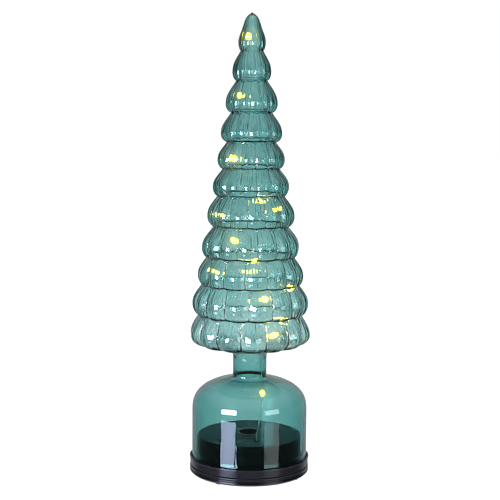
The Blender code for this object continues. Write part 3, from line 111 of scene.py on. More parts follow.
# what blowing leaves of the wall: (height, share of its thickness)
WALL_SHARES = (
    (TRUNK_TOP, 0.56), (135.0, 0.74), (165.0, 0.93), (250.0, 1.08), (330.0, 1.02), (400.0, 0.85),
)
OUTER_STREAKS, INNER_STREAKS, DOME_STREAKS = 0.2, 1.0, 0.1    # how deep blowing drew the skin
# where the first crease of each tier stands, in degrees from the front
TIER_TURNS = (-3.3, 7.6, -3.7, -6.2, 8.0, 9.6, -5.0, 8.6, 19.5, -1.4, 16.0)
DOME_RADIUS, SHOULDER = 50.3, 29.6

# shape of the tip, as shares of the way down to the first tier and of that tier's radius
TIP_SHAPE = (
    (0.000, 0.000), (0.006, 0.055), (0.022, 0.085), (0.036, 0.125), (0.060, 0.205), (0.095, 0.300),
    (0.165, 0.425), (0.235, 0.505), (0.305, 0.565), (0.444, 0.654), (0.580, 0.745), (0.700, 0.845),
    (0.790, 0.914), (0.900, 0.975),
)
# shape of a tier from the neck above down to its widest place, as shares of both ways
TIER_SHAPE = (
    (0.060, 0.040), (0.167, 0.190), (0.278, 0.370), (0.389, 0.535), (0.500, 0.685), (0.611, 0.815),
    (0.722, 0.905), (0.833, 0.965), (0.930, 0.993),
)
# shape of its underside, from the widest place down to the neck below
TUCK_SHAPE = (
    (0.180, 0.015), (0.360, 0.080), (0.550, 0.210), (0.720, 0.400), (0.870, 0.640), (0.960, 0.850),
)
# underside of the lowest tier: share of its radius, share of the height over the trunk
SKIRT_SHAPE = (
    (0.992, 0.920), (0.975, 0.810), (0.940, 0.700), (0.895, 0.600), (0.820, 0.510), (0.700, 0.430),
    (0.560, 0.350), (0.440, 0.270), (0.350, 0.170), (0.300, 0.070),
)
# fillet between trunk and dome: millimetres out from the trunk and up from its foot
FILLET_SHAPE = ((0.02, -0.3), (0.12, -1.1), (0.4, -1.75), (0.9, -2.15), (1.8, -2.45))
# shoulder of the dome: share of the way out from the trunk, share of the way down
SHOULDER_SHAPE = (
    (0.110, 0.092), (0.180, 0.118), (0.320, 0.155), (0.460, 0.207), (0.583, 0.270),
    (0.690, 0.338), (0.778, 0.415), (0.852, 0.500), (0.910, 0.590), (0.950, 0.682), (0.978, 0.775),
    (0.993, 0.880), (1.000, 1.000),
)

# the LED wire's way up, in millimetres; an L marks a LED
WIRE_WAY = (
    ("", 6.44, -24.05, 32.3), ("", 6.4, -24, 38), ("", 8, -20, 47), ("", 10.2, -15, 58),
    ("L", 11, -8, 72), ("", 10.4, -4, 86), ("", 9.2, -4.5, 99), ("", 11.2, -9, 112.5),
    ("L", 20.7, -25, 126.5), ("", 33.5, -6, 127), ("L", 28.5, 20, 130), ("", 22, -7, 144),
    ("L", 11.8, -29, 158), ("", 26, -24, 161), ("L", 35, -8, 165), ("", 23, 20, 169),
    ("L", -2.3, 31, 174), ("", -26, 17, 177), ("L", -35, -6, 180), ("", -19, -27, 185),
    ("L", 2.9, -32, 191), ("", -6, -31.5, 200), ("L", -14.5, -27, 208), ("", -24, -12.5, 216),
    ("L", -30.5, 5, 227), ("", -5, -1, 230), ("L", 23.5, -10, 233.5), ("", 24, 8, 235),
    ("L", 9.6, 21, 238), ("", -6, 10, 256), ("L", -15, -11, 276.5), ("", -10, -12, 302),
    ("L", -10.8, -4, 330), ("", -5, 2, 356), ("L", -4.2, 1, 380),
)
WIRE_STEPS = 8             # points of the smooth line from one of these places to the next

# how the round CAD pieces are made rounder
ARC_CUTS = 3               # new points on every step of an arc
WIDEST_STEP = math.radians(38)    # a wider step is a corner of the piece and no arc
FLAT_ANGLE = math.radians(0.6)    # the solids' triangles on one face bend less than this
SAME_HEIGHT, SAME_RADIUS, ON_CHORD = 2e-6, 4e-6, 3e-6    # metres by which a point of an arc may miss

# the studio, in metres and degrees; the lamp stands on the origin
CAMERA_AWAY, CAMERA_HEIGHT, AIM_HEIGHT = 1.10, 0.33, 0.20
CAMERA_ROLL, CAMERA_SHIFT = 0.42, (-0.0012, -0.0075)
TABLE_RADIUS, TABLE_SIDES = 6.0, 48
# two softboxes stand in front at one metre, and a glossy floor mirrors them below the table:
# name, degrees from the front, setting of its light, bottom, top, hue
SOFTBOXES = (
    ("softbox_left", -41.0, "left_light", 0.09, 0.46, "#F4F6FF"),
    ("softbox_right", 45.0, "right_light", 0.09, 0.46, "#F4FFFF"),
    ("mirrored_left", -41.0, "left_light", -0.42, -0.14, "#CFDAFF"),
    ("mirrored_right", 45.0, "right_light", -0.42, -0.14, "#D2DBE1"),
)
SOFTBOX_HALF_ANGLE = 14.5  # half a softbox's width as the lamp sees it
DISPLAY_GAMMA, SHARPENING = 2.2, 0.15        # of the finished picture


# ---------------------------------------------------------------- small helpers

def linear(code):
    """The linear colour of an sRGB hex code such as #20C9C7."""
    parts = [int(code[i:i + 2], 16) / 255 for i in (1, 3, 5)]
    return (*(c / 12.92 if c <= 0.04045 else ((c + 0.055) / 1.055) ** 2.4 for c in parts), 1.0)


def add(tree, kind, inputs=(), **settings):
    """Adds one node to a shader, geometry or compositor tree with its settings, values and links.
    The inputs are named, numbered or in order. A node among them stands for its first output."""
    node = tree.nodes.new(kind)
    for name, value in settings.items():
        setattr(node, name, value)
    for key, value in inputs.items() if isinstance(inputs, dict) else enumerate(inputs):
        if isinstance(value, bpy.types.Node):
            value = value.outputs[0]
        if isinstance(value, bpy.types.NodeSocket):
            tree.links.new(value, node.inputs[key])
        else:
            node.inputs[key].default_value = value
    return node


def empty_tree(owner):
    """The node tree of a material, of the world or of the scene, emptied."""
    owner.use_nodes = True
    owner.node_tree.nodes.clear()
    return owner.node_tree


def fresh_material(name):
    """A material with an empty tree; returns (material, tree)."""
    material = bpy.data.materials.new(name)
    return material, empty_tree(material)


def object_place(tree, scale=(1, 1, 1)):
    """Object coordinates in metres, stretched by scale."""
    place = add(tree, "ShaderNodeTexCoord")
    return add(tree, "ShaderNodeMapping", {"Vector": place.outputs["Object"], "Scale": scale})


def put_on_body(piece, body, slot, *nodes):
    """Lets a finished piece ride on its body and stand for its CAD nodes."""
    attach(piece, body)
    if nodes:
        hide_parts(*nodes)


def new_piece(name, mesh, *materials):
    """An object at the origin with that mesh and those materials."""
    piece = bpy.data.objects.new(name, mesh)
    bpy.context.scene.collection.objects.link(piece)
    mesh.materials.clear()
    for material in materials:
        mesh.materials.append(material)
    return piece


def keep_result(piece, modifier):
    """Makes what the modifier shows the piece's plain mesh, and takes the modifier off."""
    bpy.context.view_layer.update()
    shape = piece.evaluated_get(bpy.context.evaluated_depsgraph_get())
    mesh = bpy.data.meshes.new_from_object(shape)
    piece.modifiers.remove(modifier)
    piece.data = mesh
    mesh.name = piece.name


# ---------------------------------------------------------------- geometry node trees

ROW_LABELS = ("radius", "height", "crease", "drop", "streaks", "turn")     # of a row of the glass
SOCKETS = {int: "NodeSocketInt", float: "NodeSocketFloat"}                 # for counts and for sizes


def new_tree(name, sizes):
    """A geometry tree with a mesh in, a mesh out, a material and the named sizes with their defaults;
    returns (tree, its inputs)."""
    tree = bpy.data.node_groups.new(name, "GeometryNodeTree")
    tree.interface.new_socket("Geometry", in_out="OUTPUT", socket_type="NodeSocketGeometry")
    tree.interface.new_socket("Geometry", in_out="INPUT", socket_type="NodeSocketGeometry")
    tree.interface.new_socket("Material", in_out="INPUT", socket_type="NodeSocketMaterial")
    for label, size in sizes.items():
        socket = tree.interface.new_socket(label, in_out="INPUT", socket_type=SOCKETS[type(size)])
        socket.default_value = size
    return tree, add(tree, "NodeGroupInput").outputs


def run_tree(piece, tree, values):
    """Runs a geometry tree on the piece, sets its inputs by identifier, and keeps the plain mesh."""
    modifier = piece.modifiers.new(tree.name, "NODES")
    modifier.node_group = tree
    for item in tree.interface.items_tree:
        if item.in_out == "INPUT" and item.name in values:
            modifier[item.identifier] = values[item.name]
    keep_result(piece, modifier)


def end_tree(tree, shape, material):
    """Ends a geometry tree in real faces with their material."""
    real = add(tree, "GeometryNodeRealizeInstances", {"Geometry": shape})
    final = add(tree, "GeometryNodeSetMaterial", {"Geometry": real, "Material": material})
    add(tree, "NodeGroupOutput", {"Geometry": final})
    return tree


def row_value(tree, table, row, label):
    """A row's own value from the table of rows."""
    named = add(tree, "GeometryNodeInputNamedAttribute", {"Name": label}, data_type="FLOAT")
    return add(tree, "GeometryNodeSampleIndex", {
        "Geometry": table, "Value": named, "Index": row}, data_type="FLOAT", domain="POINT")


def fluted_glass_tree():
    """Turns a table of rows into one fluted shell: each row is a ring with its creases at its turn."""
    tree, given = new_tree("Fluted glass", {
        "Columns": 238, "Flutes": 14, "Crease depth": 0.08, "Lobe fullness": 1.05, "Lobe drop": 0.025,
        "Sharp angle": 1.1})
    table = given["Geometry"]
    # a flat grid first: its width becomes the way round, its height the way down the rows
    rows = add(tree, "GeometryNodeAttributeDomainSize", {"Geometry": table}, component="MESH")
    columns = add(tree, MATH, (given["Columns"], 1.0), operation="ADD")
    grid = add(tree, "GeometryNodeMeshGrid", {
        "Size X": 1.0, "Size Y": 1.0, "Vertices X": columns, "Vertices Y": rows}).outputs["Mesh"]
    spot = add(tree, "GeometryNodeInputPosition")
    across, along = add(tree, "ShaderNodeSeparateXYZ", (spot,)).outputs[:2]
    last = add(tree, MATH, (rows, 1.0), operation="SUBTRACT")
    from_top = add(tree, MATH, (along, 0.5), operation="ADD")
    near_row = add(tree, MATH, (from_top, last), operation="MULTIPLY")
    row = add(tree, MATH, (near_row,), operation="ROUND")
    azimuth = add(tree, MATH, (across, math.tau, math.pi), operation="MULTIPLY_ADD")
    radius, height, crease, drop, streaks, turn = (
        row_value(tree, table, row, label) for label in ROW_LABELS)
    # the lobe is 1 on a crown and 0 in a crease
    from_crease = add(tree, MATH, (azimuth, turn), operation="SUBTRACT")
    half_flutes = add(tree, MATH, (given["Flutes"], 0.5), operation="MULTIPLY")
    wave = add(tree, MATH, (from_crease, half_flutes), operation="MULTIPLY")
    swing = add(tree, MATH, (wave,), operation="SINE")
    even_swing = add(tree, MATH, (swing,), operation="ABSOLUTE")
    lobe = add(tree, MATH, (even_swing, given["Lobe fullness"]), operation="POWER")
    # creases go in by their share of the radius, lobes hang down by theirs
    valley = add(tree, MATH, (1.0, lobe), operation="SUBTRACT")
    depth = add(tree, MATH, (given["Crease depth"], crease), operation="MULTIPLY")
    inset = add(tree, MATH, (depth, valley), operation="MULTIPLY")
    share = add(tree, MATH, (1.0, inset), operation="SUBTRACT")
    out = add(tree, MATH, (radius, share), operation="MULTIPLY")
    hang = add(tree, MATH, (given["Lobe drop"], drop), operation="MULTIPLY")
    low = add(tree, MATH, (hang, lobe), operation="MULTIPLY")
    fall = add(tree, MATH, (low, radius), operation="MULTIPLY")
    sine = add(tree, MATH, (azimuth,), operation="SINE")
    cosine = add(tree, MATH, (azimuth,), operation="COSINE")
    right = add(tree, MATH, (out, sine), operation="MULTIPLY")
    back = add(tree, MATH, (out, cosine), operation="MULTIPLY")
    front = add(tree, MATH, (back, -1.0), operation="MULTIPLY")
    up = add(tree, MATH, (height, fall), operation="SUBTRACT")
    place = add(tree, "ShaderNodeCombineXYZ", {"X": right, "Y": front, "Z": up})
    # streaks lie closer on a narrow tier, so they are shallower there by the radius
    skin = add(tree, MATH, (streaks, radius), operation="MULTIPLY")
    marks = {"from_crease": even_swing, "crease_share": crease, "streak_depth": skin}
    for label, value in marks.items():
        grid = add(tree, "GeometryNodeStoreNamedAttribute", {
            "Geometry": grid, "Name": label, "Value": value}, data_type="FLOAT", domain="POINT")
    moved = add(tree, "GeometryNodeSetPosition", {"Geometry": grid, "Position": place})
    closed = add(tree, "GeometryNodeMergeByDistance", {"Geometry": moved, "Distance": 2e-6})
    outward = add(tree, "GeometryNodeFlipFaces", {"Mesh": closed})
    soft = add(tree, "GeometryNodeSetShadeSmooth", {"Geometry": outward})
    bend = add(tree, "GeometryNodeInputMeshEdgeAngle").outputs["Unsigned Angle"]
    sharp = add(tree, "FunctionNodeCompare", {
        0: bend, 1: given["Sharp angle"]}, data_type="FLOAT", operation="GREATER_THAN")
    crisp = add(tree, "GeometryNodeSetShadeSmooth", {
        "Geometry": soft, "Selection": sharp, "Shade Smooth": False}, domain="EDGE")
    return end_tree(tree, crisp, given["Material"])


def twisted_pair_tree():
    """Lays two twisted strands along a line of points."""
    tree, given = new_tree("Twisted pair", {
        "Strand radius": 0.00012, "Spread": 0.00035, "Twist pitch": 0.016, "Step": 0.0014})
    line = add(tree, "GeometryNodeMeshToCurve", {"Mesh": given["Geometry"]})
    even = add(tree, "GeometryNodeResampleCurve", {
        "Curve": line, "Length": given["Step"]}, mode="LENGTH")
    along = add(tree, "GeometryNodeSplineParameter").outputs["Length"]
    tangent = add(tree, "GeometryNodeInputTangent")
    normal = add(tree, "GeometryNodeInputNormal")
    side = add(tree, VECTOR_MATH, (tangent, normal), operation="CROSS_PRODUCT")
    circle = add(tree, "GeometryNodeCurvePrimitiveCircle", {
        "Resolution": 6, "Radius": given["Strand radius"]}, mode="RADIUS")
    strands = add(tree, "GeometryNodeJoinGeometry")
    for start in (0.0, math.pi):
        turns = add(tree, MATH, (along, given["Twist pitch"]), operation="DIVIDE")
        angle = add(tree, MATH, (turns, math.tau, start), operation="MULTIPLY_ADD")
        cosine = add(tree, MATH, (angle,), operation="COSINE")
        sine = add(tree, MATH, (angle,), operation="SINE")
        over = add(tree, VECTOR_MATH, {0: normal, "Scale": cosine}, operation="SCALE")
        beside = add(tree, VECTOR_MATH, {0: side, "Scale": sine}, operation="SCALE")
        off = add(tree, VECTOR_MATH, (over, beside), operation="ADD")
        shift = add(tree, VECTOR_MATH, {0: off, "Scale": given["Spread"]}, operation="SCALE")
        strand = add(tree, "GeometryNodeSetPosition", {"Geometry": even, "Offset": shift})
        tube = add(tree, "GeometryNodeCurveToMesh", {
            "Curve": strand, "Profile Curve": circle, "Fill Caps": True})
        tree.links.new(tube.outputs[0], strands.inputs[0])     # one of the join's several meshes
    soft = add(tree, "GeometryNodeSetShadeSmooth", {"Geometry": strands})
    return end_tree(tree, soft, given["Material"])


def led_drop_tree():
    """Puts a resin drop on every LED point, long side along the wire."""
    tree, given = new_tree("LED drops", {"Drop radius": 0.0021, "Drop length": 0.0054})
    points = add(tree, "GeometryNodeMeshToPoints", {"Mesh": given["Geometry"]})
    ball = add(tree, "GeometryNodeMeshUVSphere", {"Segments": 14, "Rings": 10, "Radius": 1.0})
    half = add(tree, MATH, (given["Drop length"], 0.5), operation="MULTIPLY")
    stretch = add(tree, "ShaderNodeCombineXYZ", {
        "X": given["Drop radius"], "Y": given["Drop radius"], "Z": half})
    drop = add(tree, "GeometryNodeTransform", {"Geometry": ball, "Scale": stretch})
    soft = add(tree, "GeometryNodeSetShadeSmooth", {"Geometry": drop})
    way = add(tree, "GeometryNodeInputNamedAttribute", {"Name": "way"}, data_type="FLOAT_VECTOR")
    turned = add(tree, "FunctionNodeAlignRotationToVector", {"Vector": way}, axis="Z")
    many = add(tree, "GeometryNodeInstanceOnPoints", {
        "Points": points, "Instance": soft, "Rotation": turned})
    return end_tree(tree, many, given["Material"])


# ---------------------------------------------------------------- materials

def blown_teal_glass(settings):
    """Soda-lime glass tinted in the melt and blown into a mould: clear gloss and faint waves, darker
    where it is thick, with painted shade along its creases."""
    material, tree = fresh_material("blown teal glass")
    place = object_place(tree)
    # blowing draws the skin into upright streaks, about 1.6 mm apart on a 40 mm radius and 25 mm long
    flat = add(tree, VECTOR_MATH, (place, (1.0, 1.0, 0.0)), operation="MULTIPLY")
    round_way = add(tree, VECTOR_MATH, (flat,), operation="NORMALIZE")
    up_way = add(tree, VECTOR_MATH, (place, (0.0, 0.0, 40.0)), operation="MULTIPLY")
    skin = add(tree, VECTOR_MATH, (round_way, (25.0, 25.0, 0.0), up_way), operation="MULTIPLY_ADD")
    drawn = add(tree, NOISE, {"Vector": skin, "Scale": 1.0, "Detail": 1.0})
    depth = add(tree, "ShaderNodeAttribute", attribute_name="streak_depth").outputs["Fac"]
    streak = add(tree, MATH, (drawn, depth), operation="MULTIPLY")
    # the mould leaves soft waves about 14 mm long; the outside's streaks are 0.6 times as deep on a
    # 40 mm radius
    wave = add(tree, NOISE, {"Vector": place, "Scale": 70.0, "Detail": 1.0})
    both = add(tree, MATH, (streak, 80.0, wave), operation="MULTIPLY_ADD")
    bump = add(tree, BUMP, {"Strength": 0.6, "Distance": 0.0003, "Height": both})
    # each crease is a fold about 1 mm wide: steep flanks, and painted shade, a deeper tint for the dark
    # lines the creases refract
    away = add(tree, "ShaderNodeAttribute", attribute_name="from_crease").outputs["Fac"]
    share = add(tree, "ShaderNodeAttribute", attribute_name="crease_share").outputs["Fac"]
    fold = add(tree, RAMP, {
        "Value": away, "From Max": settings.fold_width, "To Min": 1.0, "To Max": 0.0
        }, interpolation_type="SMOOTHSTEP")
    fold = add(tree, MATH, (fold, share), operation="MULTIPLY")
    ridge = add(tree, BUMP, {
        "Strength": 1.0, "Distance": settings.fold_depth, "Height": fold, "Normal": bump
        }, invert=True)
    # the painted shade is deeper where the fold is seen at a slant, where light crosses more of it
    slant = add(tree, "ShaderNodeLayerWeight", {"Blend": 0.5}).outputs["Facing"]
    slant = add(tree, RAMP, {
        "Value": slant, "From Min": 0.05, "From Max": 0.40, "To Min": 0.2, "To Max": 1.0})
    deep = add(tree, MATH, (fold, slant), operation="MULTIPLY")
    # the painted crease shade goes into the glass's base colour
    tone = add(tree, MIX, {
        0: deep, 6: linear("#FFFFFF"), 7: tuple(settings.crease_shade_tint)}, data_type="RGBA")
    # the last 2 mm at the tip, where the glass was cracked off, are scorched dark
    height = add(tree, "ShaderNodeSeparateXYZ", (place,)).outputs[2]
    scar = add(tree, RAMP, {
        "Value": height, "From Min": TIP_Z - 0.0022, "From Max": TIP_Z - 0.0014
        }, interpolation_type="SMOOTHSTEP")
    tone = add(tree, MIX, {0: scar, 6: tone.outputs[2], 7: linear("#2A3A38")}, data_type="RGBA")
    glass = add(tree, "ShaderNodeBsdfPrincipled", {
        "Base Color": tone.outputs[2], "Roughness": 0.0, "IOR": 1.5, "Transmission Weight": 1.0,
        "Normal": ridge})
    body = add(tree, "ShaderNodeVolumeAbsorption", {
        "Color": tuple(settings.tint), "Density": settings.tint_density})
    add(tree, "ShaderNodeOutputMaterial", {"Surface": glass, "Volume": body})
    return material


def opaque(name, shades, rough, tone, wear=None, relief=None, bump=(0.3, 0.00001), wear_span=(0.3, 0.7),
           metallic=0.0, ior=1.5, stretch=(1, 1, 1)):
    """An opaque finish: two close shades follow its tone, the roughness its wear, the bump its relief.
    Each of the three is a grain, (how many in a metre, detail), and where only the tone is given the
    others are the same grain."""
    material, tree = fresh_material(name)
    place = object_place(tree, stretch)
    wanted = (tone, wear or tone, relief or tone)
    noises = {grain: add(tree, NOISE, {"Vector": place, "Scale": grain[0], "Detail": grain[1]})
              for grain in set(wanted)}
    tone, wear, relief = (noises[grain] for grain in wanted)
    shade = add(tree, MIX, {0: tone, 6: linear(shades[0]), 7: linear(shades[1])}, data_type="RGBA")
    gloss = add(tree, RAMP, {
        "Value": wear, "From Min": wear_span[0], "From Max": wear_span[1],
        "To Min": rough[0], "To Max": rough[1]})
    bumps = add(tree, BUMP, {"Strength": bump[0], "Distance": bump[1], "Height": relief})
    skin = add(tree, "ShaderNodeBsdfPrincipled", {
        "Base Color": shade.outputs[2], "Roughness": gloss, "Metallic": metallic, "IOR": ior,
        "Normal": bumps})
    add(tree, "ShaderNodeOutputMaterial", {"Surface": skin})
    return material


def polished_black_abs():
    """Moulded ABS from a polished tool: deep black with a mirror gloss and faint flow waves."""
    # the melt's flow waves are about 17 mm long, and the dust that dulls the gloss is about 0.6 mm
    return opaque("polished black ABS", ("#040505", "#080A0A"), (0.015, 0.05), tone=(60.0, 2.0),
                  wear=(1800.0, 1.0), bump=(0.12, 0.0001), wear_span=(0.35, 0.75), ior=1.54)


def satin_black_abs(name, *shades):
    """Moulded ABS from a finely eroded tool: black with a bluish sheen, slightly rubbed in places."""
    # the eroded grain is about 0.05 mm, drawn at 0.4 mm so that it shows; rubbed places are 22 mm wide
    return opaque(name, shades, (0.17, 0.28), tone=(45.0, 3.0), relief=(2500.0, 2.0),
                  bump=(0.15, 0.00005), ior=1.54)


def grained(name, dark, light, grain_mm, rough, **others):
    """A moulded, plated or rolled finish that follows one grain throughout."""
    return opaque(name, (dark, light), rough, tone=(1000.0 / grain_mm, 3.0), **others)


def warm_led_resin(settings):
    """A drop of clear epoxy over a warm chip: amber all through, a little cloudy."""
    material, tree = fresh_material("warm LED resin")
    swirl = add(tree, NOISE, {"Vector": object_place(tree), "Scale": 900.0, "Detail": 1.0})
    glow = add(tree, MIX, {
        0: swirl, 6: tuple(settings.colour), 7: linear("#FFC800")}, data_type="RGBA")
    drop = add(tree, "ShaderNodeBsdfPrincipled", {
        "Base Color": linear("#FFE9A8"), "Roughness": 0.15, "IOR": 1.5, "Transmission Weight": 0.7,
        "Emission Color": glow.outputs[2], "Emission Strength": settings.glow})
    add(tree, "ShaderNodeOutputMaterial", {"Surface": drop})
    return material


def led_phosphor(settings):
    """The chip's baked phosphor: a grainy yellow-white light source."""
    material, tree = fresh_material("LED phosphor")
    grain = add(tree, NOISE, {"Vector": object_place(tree), "Scale": 4000.0, "Detail": 1.0})
    level = add(tree, RAMP, {
        "Value": grain, "To Min": 0.8 * settings.strength, "To Max": 1.2 * settings.strength})
    light = add(tree, "ShaderNodeEmission", {"Color": linear("#FFD98A"), "Strength": level})
    add(tree, "ShaderNodeOutputMaterial", {"Surface": light})
    return material


def pale_table():
    """A white acrylic light table: an even pale glow from below, with the faintest cloudiness.
    In the lamp's gloss only the part behind the lamp is bright, because the studio in front is dark."""
    material, tree = fresh_material("white acrylic table")
    place = object_place(tree)
    cloud = add(tree, NOISE, {"Vector": place, "Scale": 3.0, "Detail": 1.0})
    shade = add(tree, MIX, {0: cloud, 6: linear("#3C3C3C"), 7: linear("#464646")}, data_type="RGBA")
    behind = add(tree, "ShaderNodeSeparateXYZ", (place,)).outputs[1]
    mirrored = add(tree, RAMP, {
        "Value": behind, "From Min": -0.05, "From Max": 0.35, "To Min": 0.02, "To Max": 0.85
        }, interpolation_type="SMOOTHSTEP")
    bounces = add(tree, "ShaderNodeLightPath").outputs["Glossy Depth"]
    glow = add(tree, MIX, {0: bounces, 2: 0.97, 3: mirrored}, data_type="FLOAT")
    sheet = add(tree, "ShaderNodeBsdfPrincipled", {
        "Base Color": shade.outputs[2], "Roughness": 0.6, "IOR": 1.49,
        "Emission Color": linear("#FFFFFF"), "Emission Strength": glow})
    # the sheet is clear from below, where the lamp's battery door and switch are looked at
    under = add(tree, "ShaderNodeNewGeometry").outputs["Backfacing"]
    clear = add(tree, "ShaderNodeBsdfTransparent")
    top = add(tree, "ShaderNodeMixShader", (under, sheet, clear))
    add(tree, "ShaderNodeOutputMaterial", {"Surface": top})
    return material


def softbox_cloth(name, hue, power):
    """Diffuser cloth lit from behind: bright, slightly uneven where the folds lie."""
    material, tree = fresh_material("diffuser cloth " + name)
    fold = add(tree, NOISE, {"Vector": object_place(tree), "Scale": 6.0, "Detail": 1.0})
    level = add(tree, RAMP, {"Value": fold, "To Min": 0.85 * power, "To Max": 1.15 * power})
    glow = add(tree, "ShaderNodeEmission", {"Color": linear(hue), "Strength": level})
    add(tree, "ShaderNodeOutputMaterial", {"Surface": glow})
    return material


# the slots whose finish follows one grain: name, two shades, grain in millimetres, roughness, the rest
GRAINED = {
    # dull, slightly dusty
    "grey_rubber": ("moulded grey rubber", "#3A3B3C", "#4A4B4C", 0.6, (0.65, 0.85), {"ior": 1.52}),
    # waxy white
    "white_acetal": ("moulded white acetal", "#E6E4DC", "#F2F0EA", 4.0, (0.28, 0.42), {"ior": 1.48}),
    # bright zinc: pale grey metal with fine turning marks
    "zinc_plated_steel": ("zinc-plated steel", "#B9BDBF", "#D6D9DA", 0.5, (0.22, 0.38), {
        "metallic": 1.0, "stretch": (1, 1, 6)}),
    # rolled and plated: warm grey, straight grain
    "nickel_strip": ("nickel-plated strip", "#BDB8AE", "#D9D5CC", 0.4, (0.18, 0.32), {
        "metallic": 1.0, "stretch": (1, 8, 1)}),
    # lightly tarnished
    "copper_track": ("etched copper track", "#B5673F", "#D08A5E", 1.2, (0.22, 0.40), {"metallic": 1.0}),
    # solder mask over woven glass: the 0.5 mm weave shows as small cells
    "green_board": ("green board laminate", "#0E4A2A", "#186B3E", 0.5, (0.30, 0.45), {"ior": 1.55}),
    # a printed shrink sleeve, plain here: dark grey with a satin gloss
    "cell_jacket": ("shrink-sleeved cell jacket", "#2B2E33", "#3B3F45", 3.0, (0.25, 0.35), {
        "ior": 1.53}),
    # red, waxy
    "lead_insulation": ("extruded vinyl insulation", "#8E1616", "#A82020", 2.0, (0.40, 0.55), {
        "ior": 1.53}),
    # drawn copper, tinned and lacquered: silvery with darker stretches
    "lacquered_wire": ("lacquered tinned wire", "#C4C8BE", "#E9ECE4", 2.5, (0.25, 0.40), {
        "metallic": 0.4}),
}


@cache
def slot_material(slot):
    """The finish of a CAD slot, made when it is first asked for."""
    scene = bpy.context.scene
    if slot == "teal_glass":
        return blown_teal_glass(scene.tree_lamp_glass)
    if slot == "warm_led_resin":
        return warm_led_resin(scene.tree_lamp_leds)
    if slot == "black_abs":
        return satin_black_abs("satin black ABS", "#0C0D14", "#14151E")
    *values, rest = GRAINED[slot]
    return grained(*values, **rest)


# ---------------------------------------------------------------- the row table of the glass

def neck_to_neck(tier):
    """Outline of one tier from just under the neck above to the neck below, in millimetres:
    (radius, height, crease share, drop share)."""
    wide_z, wide_r = TIERS[tier]
    rows = []
    if tier == 0:
        # the creases begin 8 percent down from the tip and are grown 50 percent further down
        for down, out in TIP_SHAPE:
            share = min(1.0, max(0.0, (down - 0.08) / 0.5))
            height = TIP_Z / MM - down * (TIP_Z / MM - wide_z)
            rows.append((out * wide_r, height, 0.75 * share, 0.0))
    else:
        # a crease is 35 percent deep at the neck above and full halfway down
        top_z, top_r = NECKS[tier - 1]
        for down, out in TIER_SHAPE:
            rows.append((top_r + out * (wide_r - top_r), top_z - down * (top_z - wide_z),
                         min(1.0, 0.35 + down * 1.3), 0.25 * down))
    rows.append((wide_r, wide_z, 1.0, 0.3))
    if tier < len(NECKS):
        # and 40 percent deep at the neck below, where a seam goes in
        low_z, low_r = NECKS[tier]
        for down, in_share in TUCK_SHAPE:
            rows.append((wide_r - in_share * (wide_r - low_r), wide_z - down * (wide_z - low_z),
                         1.0 - 0.6 * down ** 3, 0.3 + 0.3 * down))
        rows.append((low_r - SEAM_DEPTH * min(1.0, low_r / 40.0), low_z + 0.3, 0.4, 0.4))
    return rows


def outer_rows(step):
    """The glass's outside from tip to rim: (radius, height, crease and drop shares, streaks, turn).
    Every crease lies on a mesh column, and columns are a step of so many degrees apart."""
    rows = []
    for tier in range(len(TIERS)):
        turn = math.radians(round(TIER_TURNS[tier] / step) * step)
        rows += [row + (OUTER_STREAKS, turn) for row in neck_to_neck(tier)]
    wide_z, wide_r = TIERS[-1]
    for out, up in SKIRT_SHAPE:
        share = max(0.0, (out - 0.30) / 0.70)
        rows.append((out * wide_r, TRUNK_TOP + up * (wide_z - TRUNK_TOP), share ** 0.7,
                     0.3 + 0.4 * share, OUTER_STREAKS, turn))
    plain = (0.0, 0.0, DOME_STREAKS, turn)
    rows.append((TRUNK_RADIUS, TRUNK_TOP - 1.4) + plain)
    for share in (0.25, 0.5, 0.75):
        rows.append((TRUNK_RADIUS, TRUNK_TOP - share * (TRUNK_TOP - TRUNK_FOOT)) + plain)
    for out, down in FILLET_SHAPE:
        rows.append((TRUNK_RADIUS + out, TRUNK_FOOT + down) + plain)
    for out, down in SHOULDER_SHAPE:
        rows.append((TRUNK_RADIUS + out * (DOME_RADIUS - TRUNK_RADIUS),
                     TRUNK_FOOT - down * SHOULDER) + plain)
    foot = TRUNK_FOOT - SHOULDER
    for share in (0.2, 0.4, 0.6, 0.8, 0.97):
        rows.append((DOME_RADIUS, foot - share * (foot - RIM_Z / MM)) + plain)
    return rows


def wall_at(height, wall):
    """Thickness of the wall: blowing stretches the wide tiers, and the trunk's foot stays thick."""
    for (low, low_share), (high, high_share) in zip(WALL_SHARES, WALL_SHARES[1:]):
        if low < height <= high:
            return wall * (low_share + (high_share - low_share) * (height - low) / (high - low))
    # up to 40 percent more round the place 2 mm under the trunk's foot
    return wall * (1.0 + 0.4 * math.exp(-((height - TRUNK_FOOT + 2.0) / 2.5) ** 2))


def inner_rows(outside, wall, crease_share):
    """The inside wall from rim to tip: each outer row moved square to the outline by the wall.
    Behind a seam that is a little thicker, because blown glass is rounder inside than its mould."""
    rows = []
    for index in range(len(outside) - 1, 1, -1):
        radius, height, crease, drop, streaks, turn = outside[index]
        before = outside[min(index + 1, len(outside) - 1)]
        after = outside[index - 1]
        along = Vector((after[0] - before[0], after[1] - before[1]))
        along.normalize()
        thick = wall_at(height, wall) * (SEAM_WALL if radius < min(before[0], after[0]) else 1.0)
        place = Vector((radius, height)) + thick * Vector((-along.y, along.x))
        if place.x < INNER_HOLE:
            continue
        if rows and crease and (place - Vector(rows[-1][:2])).length < INNER_STEP:
            continue
        streaks = INNER_STREAKS if streaks > DOME_STREAKS else streaks
        rows.append((place.x, place.y, crease * crease_share, drop * crease_share, streaks, turn))
    # a low cap closes the inside under the tip
    top = rows[-1]
    rows.append((top[0] * 0.5, top[1] + 0.35 * top[0]) + top[2:])
    rows.append((0.0, top[1] + 0.45 * top[0]) + top[2:])
    return rows


